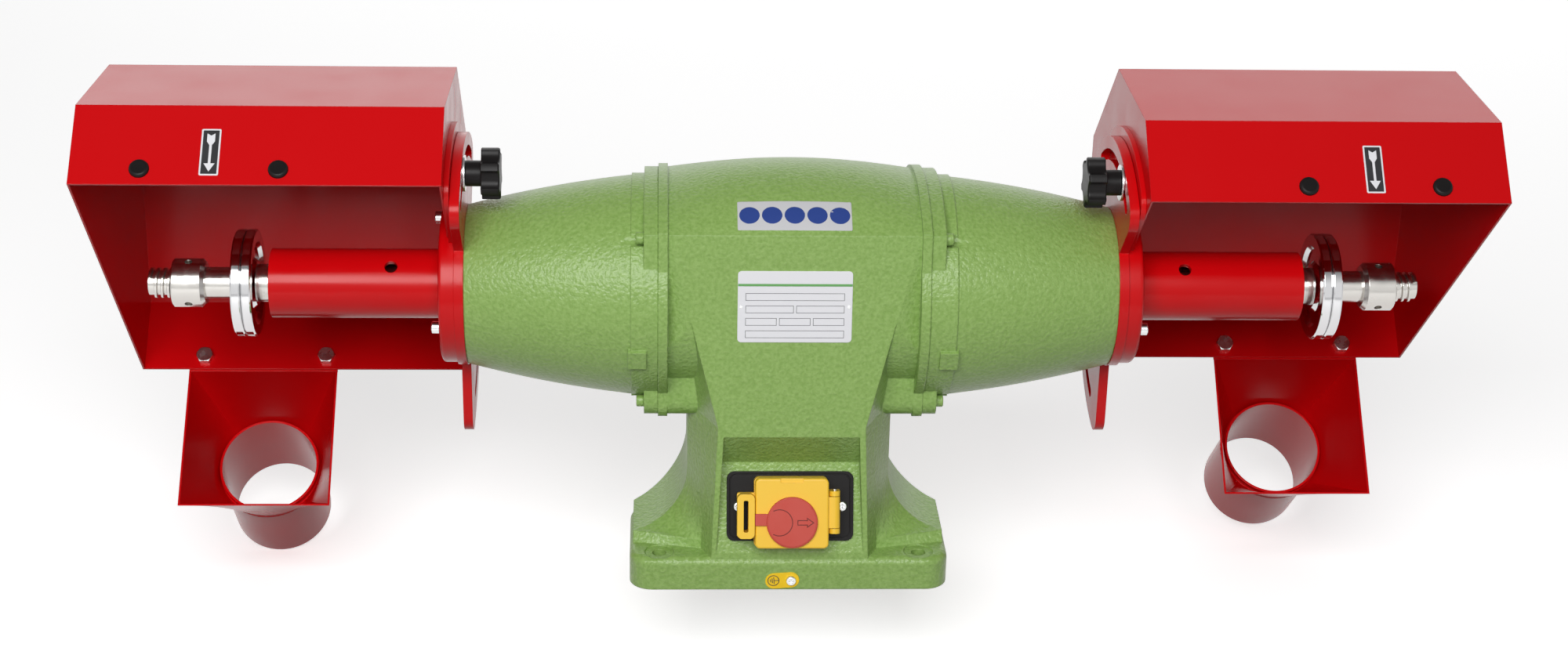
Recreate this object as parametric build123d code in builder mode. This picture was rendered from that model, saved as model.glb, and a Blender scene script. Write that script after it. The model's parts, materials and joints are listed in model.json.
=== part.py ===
# Double-ended polishing lathe with two adjustable extraction hoods.
# Millimetres, +Z up, +X along the spindle to the right, -Y to the operator.
# The origin is on the underside of the base, straight below the middle of the spindle.
import os
from math import atan2, cos, degrees, radians, sin, sqrt

from build123d import *

os.makedirs("parts", exist_ok=True)

# Driving sizes: base and pedestal
base_length = 253.0
base_front = 99.5
base_back = 0.0
base_height = 27.0
base_corner = 18.0
base_edge = 6.0
ledge_half = 72.0
ledge_back = 124.0
ledge_depth = 64.0
bolt_inset_x = 23.5
bolt_inset_y = 13.5
bolt_hole = 11.0
bolt_pad = 23.0
bolt_pad_depth = 1.0
flare_radius = 43.0
flare_rise = 7.0
flare_front = 63.0
flare_back = -9.0
flare_rear = 80.0
flare_steps = 6
waist_inset = 16.0
waist_side_y = 40.0
knee_out = 8.0
knee_in = 17.0
waist_top = 136.0
face_foot_half = 62.0
face_waist_half = 57.5
face_foot_y = 97.0
casting_wall = 9.0

# Driving sizes: motor barrel
axis_height = 221.0
barrel_half = 97.0
barrel_radius = 80.5
ring_width = 7.4
ring_step = 2.2
ring_radius = 90.0
crease_y = 75.0
crease_z = 70.0
crown_end = 90.5
crown_middle = 101.2
face_break_z = 64.0
shoulder_inset = 2.0
facet_foot = 200.0
facet_top = 289.0
facet_depth = 4.0
foot_half = 58.0
foot_reach = 91.5
foot_corner = 14.0
stator_radius = 73.0
wire_passage = 10.0

# Driving sizes: end bells
bell_flange = 11.0
bell_step = 10.0
bell_step_radius = 88.5
bell_wall = 7.0
bell_length = 149.6
bell_middle = 0.6
bell_middle_radius = 75.0
nose_radius = 63.0
nose_depth = 30.0
bell_screw = 6.0
bell_screw_reach = 93.0
bell_screw_upper = 44.0
bell_screw_lower = 59.0
cast_pad_width = 17.0
cast_pad_length = 9.0
cast_pad_rise = 2.5
cast_pad_below = 19.0
bell_cone_step = 1.5
bell_screw_clear = 7.0

# Driving sizes: spindle, bearings, rotor
spindle_end = 504.0
bearing_bore = 30.0
bearing_outside = 62.0
bearing_width = 16.0
bearing_inset = 6.0
bearing_ball = 9.5
ball_count = 9
ball_gap = 0.3
seal_land = 4.0
shaft_middle = 42.0
flange_seat = 25.0
thread_major = 24.0
thread_root = 19.4
thread_pitch = 5.0
ridge_foot = 3.1
ridge_tip = 1.7
core_length = 80.0
stator_bore = 90.0
air_gap = 0.5
end_turn_length = 24.0
end_ring_length = 12.0
end_turn_inset = 6.0
end_turn_clear = 4.0
flange_diameter = 85.0
flange_thickness = 7.9
flange_dish = 66.0
flange_dish_depth = 3.0
flange_hub = 35.0
flange_edge = 1.2
flange_joint = 427.3
nut_diameter = 38.5
nut_length = 25.5
nut_chamfer = 3.0
nut_edge = 1.0
nut_start = 459.5
tommy_hole = 6.0
tommy_depth = 5.0
tommy_first = 80.0
tommy_count = 3
running_gap = 0.05
fit_gap = 0.1

# Driving sizes: spindle tubes and bracket plates
tube_outside = 55.0
tube_wall = 4.0
tube_end = 408.0
tube_flange_radius = 62.0
tube_flange_thickness = 12.3
tube_flange_round = 3.0
tube_hole = 10.0
tube_hole_x = 313.0
tube_hole_above = 50.0
tube_screw = 6.0
tube_screw_inset = 9.0
tube_screw_first = 102.0
tube_screw_bite = 10.0
bracket_thickness = 7.5
bracket_disc_radius = 64.0
bracket_bore = 64.0
upper_lobe_radius = 120.0
upper_lobe_half = 45.0
upper_slot_radius = 105.5
upper_slot_half = 34.0
lower_lobe_radius = 134.0
lower_lobe_middle = 137.0
lower_lobe_half = 43.0
lower_slot_radius = 115.0
lower_slot_half = 25.0
lobe_corner = 15.0
slot_width = 9.0

# Driving sizes: hoods
left_tilt = -3.2
right_tilt = 1.0
hood_gap = 0.3
hood_plate_thickness = 4.0
hood_sheet = 1.6
hood_outer_face = 541.0
hood_lip_y = -93.0
hood_lip_z = 108.0
hood_front_run = 47.5
hood_top_z = 156.0
hood_top_back = 80.0
hood_back_run = 90.0
hood_back_y = 172.0
hood_back_foot = -76.0
hood_bottom_run = 45.0
hood_plate_radius = 128.0
hood_plate_front = 41.0
hood_plate_back = 40.0
hood_pivot_gap = 0.6
stud_angle = 18.0
stud_diameter = 8.0
stud_head_round = 2.8
cap_diameter = 15.0
cap_hole = 10.0
cap_spacing = 102.4
cap_rise = 3.2
cap_edge = 2.5
cap_from_lip = 13.0
hood_fitting_x = 438.0
bolt_from_edge = 11.5
hopper_bolt = 8.0
hopper_bolt_head = 13.0
hopper_bolt_head_height = 5.3
hopper_nut_height = 6.5
hopper_bolt_spare = 2.6

# Driving sizes: hoppers and spouts
hopper_sheet = 1.6
hopper_width = 125.0
hopper_height = 124.0
hopper_depth = 86.6
hopper_flange = 26.0
hopper_shift = 1.5
spout_shift = 3.5
spout_from_edge = 55.9
spout_outside = 85.0
spout_wall = 2.0
spout_length = 94.0
spout_inset = 8.0
weld_size = 2.0
weld_root = 1.0

# Driving sizes: clamp knobs
knob_head = 40.0
knob_lobes = 6
knob_scallop = 9.0
knob_scallop_offset = 4.0
knob_head_length = 14.5
knob_hub = 20.0
knob_hub_length = 12.0
knob_edge = 1.6
washer_diameter = 28.0
washer_thickness = 1.6

# Driving sizes: switch, measured in the plane of the switch panel
panel_top_y = 72.0
panel_top_z = 99.0
panel_foot_z = 31.0
pocket_top_z = 128.5
pocket_top_half = 53.0
pocket_foot_half = 58.0
plate_width = 100.0
plate_height = 55.0
plate_thickness = 2.5
plate_corner = 6.0
plate_lift = 1.5
plate_groove = 1.0
frame_left = -28.8
frame_right = 29.4
frame_bottom = -31.3
frame_top = 23.9
frame_rise = 10.0
frame_wall = 3.0
frame_corner = 4.0
lid_left = -28.2
lid_gap = 0.4
lid_rise = 9.6
lid_wall = 2.0
lid_edge = 1.6
lid_notch_width = 18.0
lid_notch_reach = 3.5
lid_notch_depth = 1.2
bow_left = -42.3
bow_right = -28.6
bow_bottom = -23.3
bow_top = 11.7
bow_low = 4.0
bow_high = 22.0
bow_bar = 5.0
bow_corner = 4.0
hinge_x = 34.2
hinge_rise = 13.0
hinge_radius = 4.4
hinge_pin = 3.0
lug_bottom = -20.0
lug_top = 13.5
ear_length = 4.0
pad_diameter = 40.0
pad_x = 0.6
pad_y = -10.4
pad_thickness = 3.2
pad_edge = 0.8
pad_travel = 4.0
pad_guide = 8.0
pad_foot = 14.0
pad_foot_thickness = 2.0
tongue_tip = -28.3
tongue_bottom = -12.9
tongue_top = -3.7
tongue_thickness = 2.2
engraving = 0.4
engraving_width = 0.6
arrow_tail = 4.0
arrow_neck = 11.5
arrow_tip = 17.3
arrow_half = 2.1
arrow_head_half = 4.1
thumb_radius = 10.6
thumb_x = -10.0
thumb_cut = -15.0
button_diameter = 14.0
button_rise = 4.0
button_length = 13.0
button_spread = 11.0
button_well = 14.0
button_edge = 0.8
box_width = 56.0
box_height = 42.0
box_depth = 42.0
box_clear = 1.0
panel_screw = 4.0
panel_screw_head = 8.0
panel_screw_head_height = 2.6
panel_screw_round = 1.5
panel_screw_recess = 1.5
panel_screw_length = 12.0
panel_screw_x = 41.0

# Driving sizes: small fittings
cover_thickness = 3.0
cover_lap = 10.0
cover_screw = 5.0
cover_screw_head = 10.0
cover_screw_length = 16.0
cover_screw_inset = 9.0
cavity_half_x = 52.0
cavity_half_y = 66.0
gland_thread = 20.0
gland_thread_length = 22.0
gland_hex = 24.0
gland_collar = 7.0
gland_cap = 15.0
gland_cap_diameter = 22.0
gland_edge = 3.7
gland_bore = 10.0
gland_land = 36.0
gland_sink = 2.0
gland_height = 70.0
earth_length = 27.0
earth_width = 13.5
earth_thickness = 0.8
earth_turn = 4.0
earth_z = 8.7
earth_screw_x = 1.4
earth_screw_offset = 7.0
lead_diameter = 8.0
lead_x = 46.0
lead_run = 14.0
lead_rise_z = 75.0
lead_bend = 10.0

# Shares of a standard screw's size
cap_head_share = 1.6
cap_socket_share = 0.84
hex_corner_share = 1.2
hex_chamfer_share = 0.75

# Places worked out from the driving sizes
spindle_axis = Axis((0, 0, axis_height), (1, 0, 0))
ring_outer = barrel_half + ring_width
bell_flange_end = ring_outer + bell_flange
bell_step_end = bell_flange_end + bell_step
bell_end = ring_outer + bell_length
bearing_outer_x = bell_end - bearing_inset
bearing_inner_x = bearing_outer_x - bearing_width
bracket_outer = bell_end + bracket_thickness
tube_flange_outer = bracket_outer + tube_flange_thickness
hood_plate_inner = bracket_outer + hood_gap
hood_inner_face = hood_plate_inner + hood_plate_thickness
pivot_radius = tube_flange_radius + hood_pivot_gap
inner_flange_x = flange_joint - flange_thickness
outer_flange_x = flange_joint + flange_thickness
nut_end = nut_start + nut_length
ball_ring = (bearing_bore + bearing_outside) / 4
rotor_radius = stator_bore / 2 - air_gap
cavity_top = axis_height - stator_radius - casting_wall
face_foot_z = panel_foot_z - axis_height
shoulder_z = axis_height + face_break_z
waist_half = barrel_half - waist_inset
tube_screw_reach = tube_flange_radius - tube_screw_inset
front_bolt_x = base_length / 2 - bolt_inset_x
rear_bolt_x = ledge_half - bolt_inset_x
bolt_places = [
    (-front_bolt_x, bolt_inset_y - base_front),
    (front_bolt_x, bolt_inset_y - base_front),
    (-rear_bolt_x, ledge_back - bolt_inset_y),
    (rear_bolt_x, ledge_back - bolt_inset_y),
]


def section_plane(x):
    """Plane across the spindle at x, with local x along +Y and local y along +Z from the axis."""
    return Plane(origin=(x, 0, axis_height), x_dir=(0, 1, 0), z_dir=(1, 0, 0))


# Plane along the spindle, with local x along +X and local y the radius
lengthwise_plane = Plane(origin=(0, 0, axis_height), x_dir=(1, 0, 0), z_dir=(0, -1, 0))


def save(piece, label):
    piece.part.label = label
    export_step(piece.part, f"parts/{label}.step")


def save_pair(piece, label):
    """The piece is built on the right; the left one is its mirror image."""
    save(piece, label + "_right")
    with BuildPart() as mirrored:
        mirror(piece.part, about=Plane.YZ)
    save(mirrored, label + "_left")


def save_hood_pair(piece, label):
    """A hood piece is built level, then each side is turned to its own tilt about the spindle."""
    with BuildPart() as right_piece:
        add(piece.part.rotate(spindle_axis, right_tilt))
    save(right_piece, label + "_right")
    with BuildPart() as left_piece:
        mirror(piece.part.rotate(spindle_axis, left_tilt), about=Plane.YZ)
    save(left_piece, label + "_left")


def ring_sketch(x, outside, bore):
    """Flat ring about the spindle."""
    with BuildSketch(section_plane(x)) as ring:
        Circle(outside)
        Circle(bore, mode=Mode.SUBTRACT)
    return ring.sketch


def turned_sketch(*points):
    """Closed outline of (x, radius) points for a piece turned about the spindle."""
    with BuildSketch(lengthwise_plane) as outline:
        with BuildLine():
            Polyline(*points, close=True)
        make_face()
    return outline.sketch


def front_y(z):
    """Distance of the flat front and rear faces from the middle, at height z from the axis."""
    return crease_y + (face_foot_y - crease_y) * (crease_z - z) / (crease_z - face_foot_z)


def barrel_sketch(x, grow, top, radius=0, reach=0):
    """Barrel section: a flat arch between two creases, over a round barrel with a squared foot where given."""
    shoulder_y = crease_y + grow
    shoulder_z = crease_z + grow
    hip_y = front_y(0) + grow
    with BuildSketch(section_plane(x)) as section:
        if reach:
            with Locations((0, -reach / 2)):
                Rectangle(2 * foot_half, reach)
            fillet(section.vertices().group_by(Axis.Y)[0], foot_corner)
        if radius:
            Circle(radius)
        with BuildLine():
            ThreePointArc((-shoulder_y, shoulder_z), (0, top), (shoulder_y, shoulder_z))
            Polyline((shoulder_y, shoulder_z), (hip_y, 0), (-hip_y, 0), (-shoulder_y, shoulder_z))
        make_face()
    return section.sketch


def base_slab(length, front, back):
    """Foot plate with rounded corners and upper edge, from y = front to y = back."""
    with BuildPart() as slab:
        with BuildSketch():
            with Locations((0, (front + back) / 2)):
                RectangleRounded(length, back - front, base_corner)
        extrude(amount=base_height)
        fillet(slab.edges().group_by(Axis.Z)[-1], base_edge)
    return slab.part


def pedestal_section(z, face_half, face_reach, rear_reach, side_half, side_front, side_back, knee=knee_out):
    """Level section of the pedestal at height z, with a bent face at each of its four corners."""
    right_side = [
        (face_half, -face_reach),
        (face_half + knee, knee_in - face_reach),
        (side_half, -side_front),
        (side_half, side_back),
        (face_half + knee, rear_reach - knee_in),
        (face_half, rear_reach),
    ]
    left_side = [(-x, y) for x, y in reversed(right_side)]
    with BuildSketch(Plane.XY.offset(z)) as section:
        with BuildLine():
            Polyline(*right_side, *left_side, close=True)
        make_face()
    return section.sketch


def bell_screw_places():
    """Places of the four end bell screws in the section plane."""
    places = []
    for angle in (bell_screw_upper, -bell_screw_lower):
        reach_y = bell_screw_reach * cos(radians(angle))
        reach_z = bell_screw_reach * sin(radians(angle))
        places += [(-reach_y, reach_z), (reach_y, reach_z)]
    return places


# Switch panel: a plane that leans back at its top
panel_lean = degrees(atan2(face_foot_y - panel_top_y, panel_top_z - panel_foot_z))
panel_plane = Plane(
    origin=(0, -(face_foot_y + panel_top_y) / 2, (panel_top_z + panel_foot_z) / 2),
    x_dir=(1, 0, 0),
    z_dir=(0, -cos(radians(panel_lean)), sin(radians(panel_lean))),
)
switch_plane = Plane(
    origin=panel_plane.origin + panel_plane.y_dir * plate_lift, x_dir=(1, 0, 0), z_dir=panel_plane.z_dir
)
plate_plane = switch_plane.offset(plate_thickness)
panel_screw_places = [(-panel_screw_x, 0), (panel_screw_x, 0)]
button_places = {"start": (pad_x, pad_y + 2 * button_spread), "stop": (pad_x, pad_y)}
box_middle_y = pad_y + button_spread

# Hollow that holds the switch, cut into the front of the pedestal
pocket_out_y = 2 * face_foot_y
pocket_slope = (pocket_top_z - panel_top_z) / (front_y(pocket_top_z - axis_height) - panel_top_y)
pocket_out_z = panel_top_z + pocket_slope * (pocket_out_y - panel_top_y)
with BuildPart() as pocket:
    with BuildSketch(Plane.YZ):
        with BuildLine():
            Polyline(
                (-panel_top_y, panel_top_z),
                (-face_foot_y, panel_foot_z),
                (-pocket_out_y, panel_foot_z),
                (-pocket_out_y, pocket_out_z),
                close=True,
            )
        make_face()
    extrude(amount=pocket_foot_half, both=True)
    with BuildSketch(Plane.XZ):
        with BuildLine():
            Polyline(
                (-pocket_foot_half, panel_foot_z),
                (pocket_foot_half, panel_foot_z),
                (pocket_top_half, pocket_top_z),
                (pocket_top_half, pocket_out_z),
                (-pocket_top_half, pocket_out_z),
                (-pocket_top_half, pocket_top_z),
                close=True,
            )
        make_face()
    extrude(amount=pocket_out_y, both=True, mode=Mode.INTERSECT)

# Motor body casting
flare_foot = base_height + flare_rise
cover_screw_x = cavity_half_x + cover_lap - cover_screw_inset
cover_screw_y = cavity_half_y + cover_lap - cover_screw_inset
cover_places = [(sx * cover_screw_x, sy * cover_screw_y) for sx in (-1, 1) for sy in (-1, 1)]
gland_seat_y = front_y(gland_height - axis_height) - gland_sink
earth_screw_plane = Plane(origin=(0, -base_front, earth_z), x_dir=(1, 0, 0), z_dir=(0, -1, 0))
screw_hole = panel_screw / 2 + fit_gap



def flare_section(z, spread, grow=0):
    """Section of the flare where it stands spread out from the waist; its foot grows by the same all round."""
    share = spread / flare_radius
    face_half = face_foot_half + (face_waist_half - face_foot_half) * (z - base_height) / (waist_top - base_height)
    face_reach = front_y(z - axis_height)
    return pedestal_section(
        z,
        face_half,
        face_reach,
        face_reach + (flare_rear - face_reach) * share,
        waist_half + spread,
        waist_side_y + (flare_front - waist_side_y) * share + grow,
        waist_side_y + (flare_back - waist_side_y) * share + grow,
    )


def facet_section(z, way_x, way_y):
    """Level cut beside the edge of the front or rear face, which narrows towards the waist."""
    share = (z - waist_top) / (shoulder_z - waist_top)
    edge_x = face_waist_half + (barrel_half - shoulder_inset - face_waist_half) * share
    reach = front_y(z - axis_height)
    depth = facet_depth * (facet_top - z) / (facet_top - axis_height)
    corners = [(edge_x, reach), (barrel_half, reach + facet_depth), (barrel_half, reach - depth)]
    with BuildSketch(Plane.XY.offset(z)) as section:
        with BuildLine():
            Polyline(*[(way_x * x, way_y * y) for x, y in corners], close=True)
        make_face()
    return section.sketch


with BuildPart() as motor_body:
    add(base_slab(base_length, -base_front, base_back))
    add(base_slab(2 * ledge_half, ledge_back - ledge_depth, ledge_back))
    flare = []
    for step in range(flare_steps + 1):
        turn = radians(90 * step / flare_steps)
        flare.append(
            flare_section(flare_foot + flare_radius * (1 - cos(turn)), flare_radius * (1 - sin(turn)))
        )
    loft(flare)
    flare_base = flare_section(base_height, flare_radius, flare_rise)
    loft([flare_base, flare[0]], ruled=True)
    extrude(flare_base, amount=-base_height)
    waist_low = flare[-1]
    waist_reach = front_y(waist_top - axis_height)
    waist_high = pedestal_section(
        waist_top, face_waist_half, waist_reach, waist_reach, waist_half, waist_side_y, waist_side_y
    )
    shoulder_reach = front_y(face_break_z)
    shoulder = pedestal_section(
        shoulder_z,
        barrel_half - shoulder_inset,
        shoulder_reach,
        shoulder_reach,
        barrel_half,
        waist_side_y,
        waist_side_y,
        knee=shoulder_inset / 3,
    )
    loft([waist_low, waist_high], ruled=True)
    loft([waist_high, shoulder], ruled=True)
    extrude(barrel_sketch(-barrel_half, 0, crown_end, barrel_radius, foot_reach), amount=2 * barrel_half)
    loft([
        barrel_sketch(-barrel_half, 0, crown_end),
        barrel_sketch(0, 0, crown_middle),
        barrel_sketch(barrel_half, 0, crown_end),
    ])
    for way_x, way_y in ((1, 1), (-1, 1), (-1, -1), (1, -1)):
        facet = [facet_section(z, way_x, way_y) for z in (facet_foot, facet_top)]
        loft(facet, ruled=True, mode=Mode.SUBTRACT)
    for x in (-ring_outer, barrel_half):
        ring = barrel_sketch(x, ring_step, crown_end + ring_step, ring_radius, foot_reach + ring_step)
        extrude(ring, amount=ring_width)
    with BuildSketch(section_plane(-ring_outer)):
        Circle(stator_radius)
    extrude(amount=2 * ring_outer, mode=Mode.SUBTRACT)
    add(pocket.part, mode=Mode.SUBTRACT)
    with BuildSketch():
        RectangleRounded(2 * cavity_half_x, 2 * cavity_half_y, foot_corner)
    extrude(amount=cavity_top, mode=Mode.SUBTRACT)
    with BuildSketch():
        RectangleRounded(2 * (cavity_half_x + cover_lap), 2 * (cavity_half_y + cover_lap), foot_corner)
    extrude(amount=cover_thickness, mode=Mode.SUBTRACT)
    with BuildSketch(Plane.XY.offset(cavity_top)):
        with Locations((lead_x, 0)):
            Circle(wire_passage / 2)
    extrude(amount=2 * casting_wall, mode=Mode.SUBTRACT)
    with BuildSketch(Plane.XY.offset(cover_thickness)):
        with Locations(*cover_places):
            Circle(cover_screw / 2 + fit_gap)
    extrude(amount=4 * cover_screw, mode=Mode.SUBTRACT)
    with BuildSketch():
        with Locations(*bolt_places):
            Circle(bolt_hole / 2)
    extrude(amount=base_height, mode=Mode.SUBTRACT)
    with BuildSketch(Plane.XY.offset(base_height - bolt_pad_depth)):
        with Locations(*bolt_places):
            Circle(bolt_pad / 2)
    extrude(amount=flare_radius, mode=Mode.SUBTRACT)
    for x, way in ((-ring_outer, 1), (ring_outer, -1)):
        with BuildSketch(section_plane(x)):
            with Locations(*bell_screw_places()):
                Circle(bell_screw / 2 + fit_gap)
        extrude(amount=way * 2.5 * bell_screw, mode=Mode.SUBTRACT)
    with BuildSketch(switch_plane):
        with Locations((pad_x, box_middle_y)):
            Rectangle(box_width + 2 * box_clear, box_height + 2 * box_clear)
    extrude(amount=-2 * casting_wall - (face_foot_y - panel_top_y), mode=Mode.SUBTRACT)
    with BuildSketch(switch_plane):
        with Locations(*panel_screw_places):
            Circle(screw_hole)
    extrude(amount=-panel_screw_length, mode=Mode.SUBTRACT)
    with BuildSketch(earth_screw_plane):
        with Locations((earth_screw_x, 0)):
            Circle(screw_hole)
    extrude(amount=-panel_screw_length, mode=Mode.SUBTRACT)
    gland_seat = Plane(origin=(0, gland_seat_y, gland_height), x_dir=(1, 0, 0), z_dir=(0, 1, 0))
    with BuildSketch(gland_seat):
        Circle(gland_land / 2)
    extrude(amount=gland_hex, mode=Mode.SUBTRACT)
    with BuildSketch(gland_seat):
        Circle(gland_thread / 2 + fit_gap)
    extrude(amount=-(gland_seat_y - cavity_half_y) - casting_wall, mode=Mode.SUBTRACT)
save(motor_body, "motor_body")


# Fasteners, each built at the origin with its head above the seat and its shank down
def cap_screw(size, length):
    """Socket head cap screw."""
    with BuildPart() as screw:
        with BuildSketch():
            Circle(size * cap_head_share / 2)
        extrude(amount=size)
        chamfer(screw.edges().group_by(Axis.Z)[-1], size / 10)
        with BuildSketch(Plane.XY.offset(size)):
            RegularPolygon(size * cap_socket_share / 2, 6, major_radius=False)
        extrude(amount=-size / 2, mode=Mode.SUBTRACT)
        with BuildSketch():
            Circle(size / 2)
        extrude(amount=-length)
    return screw.part


def pan_screw():
    """Cross recessed pan head screw."""
    with BuildPart() as screw:
        with BuildSketch():
            Circle(panel_screw_head / 2)
        extrude(amount=panel_screw_head_height)
        fillet(screw.edges().group_by(Axis.Z)[-1], panel_screw_round)
        with BuildSketch(Plane.XY.offset(panel_screw_head_height)):
            Rectangle(panel_screw, panel_screw / 4)
            Rectangle(panel_screw / 4, panel_screw)
        extrude(amount=-panel_screw_recess, mode=Mode.SUBTRACT)
        with BuildSketch():
            Circle(panel_screw / 2)
        extrude(amount=-panel_screw_length + fit_gap)
    return screw.part


def hex_head(across_flats, height):
    """Chamfered hexagon of a bolt head or nut, standing on z = 0."""
    with BuildPart() as head:
        with BuildSketch():
            RegularPolygon(across_flats / 2, 6, major_radius=False)
        extrude(amount=height)
        with BuildSketch(Plane.XZ):
            with BuildLine():
                Polyline(
                    (0, 0),
                    (across_flats * hex_corner_share / 2, 0),
                    (across_flats * hex_corner_share / 2, height * hex_chamfer_share),
                    (across_flats / 2, height),
                    (0, height),
                    close=True,
                )
            make_face()
        revolve(axis=Axis.Z, mode=Mode.INTERSECT)
    return head.part


# End bells: flange, step, cone and the nose that holds the bearing
bell_big_radius = bell_step_radius - bell_cone_step
bell_bore = stator_radius + bell_wall
bell_middle_x = bell_step_end + bell_middle * (bell_end - bell_step_end)
nose_inner_x = bell_end - nose_depth
seal_radius = bearing_bore / 2 + seal_land
cast_pad_angle = radians(cast_pad_below)
cast_pad_out = Vector(0, -cos(cast_pad_angle), -sin(cast_pad_angle))
with BuildPart() as end_bell:
    extrude(barrel_sketch(ring_outer, 0, crown_end, bell_step_radius, foot_reach), amount=bell_flange)
    with BuildSketch(lengthwise_plane):
        with BuildLine():
            ThreePointArc(
                (bell_step_end, bell_big_radius), (bell_middle_x, bell_middle_radius), (bell_end, nose_radius)
            )
            Polyline(
                (bell_end, nose_radius),
                (bell_end, seal_radius),
                (ring_outer, seal_radius),
                (ring_outer, bell_step_radius),
                (bell_step_end, bell_step_radius),
                (bell_step_end, bell_big_radius),
            )
        make_face()
    revolve(axis=spindle_axis)
    pad_plane = Plane(
        origin=Vector((bell_flange_end + bell_step_end) / 2, 0, axis_height) + cast_pad_out * bell_bore,
        x_dir=(1, 0, 0),
        z_dir=cast_pad_out,
    )
    with BuildSketch(pad_plane):
        Rectangle(bell_step + cast_pad_length / 2, cast_pad_width)
    extrude(amount=bell_step_radius + cast_pad_rise - bell_bore)
    hollow = turned_sketch(
        (ring_outer, 0),
        (ring_outer, bell_bore),
        (bell_step_end, bell_bore),
        (bell_middle_x, bell_middle_radius - bell_wall),
        (nose_inner_x, nose_radius - bell_wall),
        (nose_inner_x, bearing_outside / 2),
        (bearing_outer_x, bearing_outside / 2),
        (bearing_outer_x, 0),
    )
    revolve(hollow, axis=spindle_axis, mode=Mode.SUBTRACT)
    with BuildSketch(section_plane(ring_outer)):
        with Locations(*bell_screw_places()):
            Circle(bell_screw / 2 + fit_gap)
    extrude(amount=bell_flange, mode=Mode.SUBTRACT)
    with BuildSketch(section_plane(bell_flange_end)):
        with Locations(*bell_screw_places()):
            Circle(bell_screw_clear)
    extrude(amount=2 * bell_step, mode=Mode.SUBTRACT)
    with BuildSketch(section_plane(bell_end)):
        with PolarLocations(tube_screw_reach, 3, start_angle=180 - tube_screw_first):
            Circle(tube_screw / 2 + fit_gap)
    extrude(amount=-nose_depth / 2, mode=Mode.SUBTRACT)
save_pair(end_bell, "end_bell")

bell_screw_length = bell_flange + 2 * bell_screw
with BuildPart() as end_bell_screws:
    for x, way in ((bell_flange_end, 1), (-bell_flange_end, -1)):
        screw_plane = Plane(origin=(x, 0, axis_height), x_dir=(0, way, 0), z_dir=(way, 0, 0))
        with Locations(screw_plane):
            with Locations(*bell_screw_places()):
                add(cap_screw(bell_screw, bell_screw_length))
save(end_bell_screws, "end_bell_screws")

# Bearings: outer ring in the nose, inner ring and caged balls on the spindle
bearing_middle_x = (bearing_inner_x + bearing_outer_x) / 2
groove_radius = bearing_ball / 2 + ball_gap
land_gap = bearing_ball / 4


def ball_groove():
    with BuildSketch(lengthwise_plane) as groove:
        with Locations((bearing_middle_x, ball_ring)):
            Circle(groove_radius)
    return groove.sketch


with BuildPart() as bearing_outer:
    extrude(ring_sketch(bearing_inner_x, bearing_outside / 2, ball_ring + land_gap), amount=bearing_width)
    revolve(ball_groove(), axis=spindle_axis, mode=Mode.SUBTRACT)
save_pair(bearing_outer, "bearing_outer")

with BuildPart() as bearing_inner:
    extrude(ring_sketch(bearing_inner_x, ball_ring - land_gap, bearing_bore / 2), amount=bearing_width)
    revolve(ball_groove(), axis=spindle_axis, mode=Mode.SUBTRACT)
save_pair(bearing_inner, "bearing_inner")

with BuildPart() as bearing_balls:
    cage_half = bearing_ball / 6
    cage = ring_sketch(bearing_middle_x - cage_half, ball_ring + cage_half, ball_ring - cage_half)
    extrude(cage, amount=2 * cage_half)
    with Locations(section_plane(bearing_middle_x)):
        with PolarLocations(ball_ring, ball_count):
            Sphere(bearing_ball / 2)
save_pair(bearing_balls, "bearing_balls")

# Motor: stator in the barrel, rotor on the spindle
with BuildPart() as stator_core:
    extrude(ring_sketch(-core_length / 2, stator_radius, stator_bore / 2), amount=core_length)
save(stator_core, "stator_core")

end_turn_outside = stator_radius - end_turn_inset
end_turn_inside = stator_bore / 2 + end_turn_clear
with BuildPart() as stator_winding:
    for x, way in ((core_length / 2, 1), (-core_length / 2, -1)):
        extrude(ring_sketch(x, end_turn_outside, end_turn_inside), amount=way * end_turn_length)
    for edges in stator_winding.edges().filter_by(GeomType.CIRCLE).group_by(Axis.X)[::3]:
        fillet(edges, (end_turn_outside - end_turn_inside) / 3)
save(stator_winding, "stator_winding")

with BuildPart() as rotor_core:
    extrude(ring_sketch(-core_length / 2, rotor_radius, shaft_middle / 2), amount=core_length)
save(rotor_core, "rotor_core")

with BuildPart() as rotor_rings:
    for x, way in ((core_length / 2, 1), (-core_length / 2, -1)):
        extrude(ring_sketch(x, rotor_radius, rotor_radius - end_ring_length), amount=way * end_ring_length)
save(rotor_rings, "rotor_rings")

# Spindle shaft: right half with its right-hand thread, and its mirror image with the left-hand one
shoulder_x = core_length / 2 + end_turn_length
thread_start = nut_end - thread_pitch
thread_depth = (thread_major - thread_root) / 2
ridge_start = thread_start + ridge_foot / 2 + fit_gap
ridge_run = spindle_end - fit_gap - ridge_foot / 2 - ridge_start
with BuildPart() as thread_ridge:
    with BuildLine() as winding:
        Helix(
            thread_pitch, ridge_run, thread_root / 2, center=(ridge_start, 0, axis_height), direction=(1, 0, 0)
        )
    ridge_out = (winding.line @ 0) - Vector(ridge_start, 0, axis_height)
    ridge_plane = Plane(origin=winding.line @ 0, x_dir=(1, 0, 0), z_dir=Vector(1, 0, 0).cross(ridge_out))
    with BuildSketch(ridge_plane):
        with BuildLine():
            Polyline(
                (-ridge_foot / 2, -thread_depth / 4),
                (ridge_foot / 2, -thread_depth / 4),
                (ridge_tip / 2, thread_depth),
                (-ridge_tip / 2, thread_depth),
                close=True,
            )
        make_face()
    sweep(path=winding.line, is_frenet=True)

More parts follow.
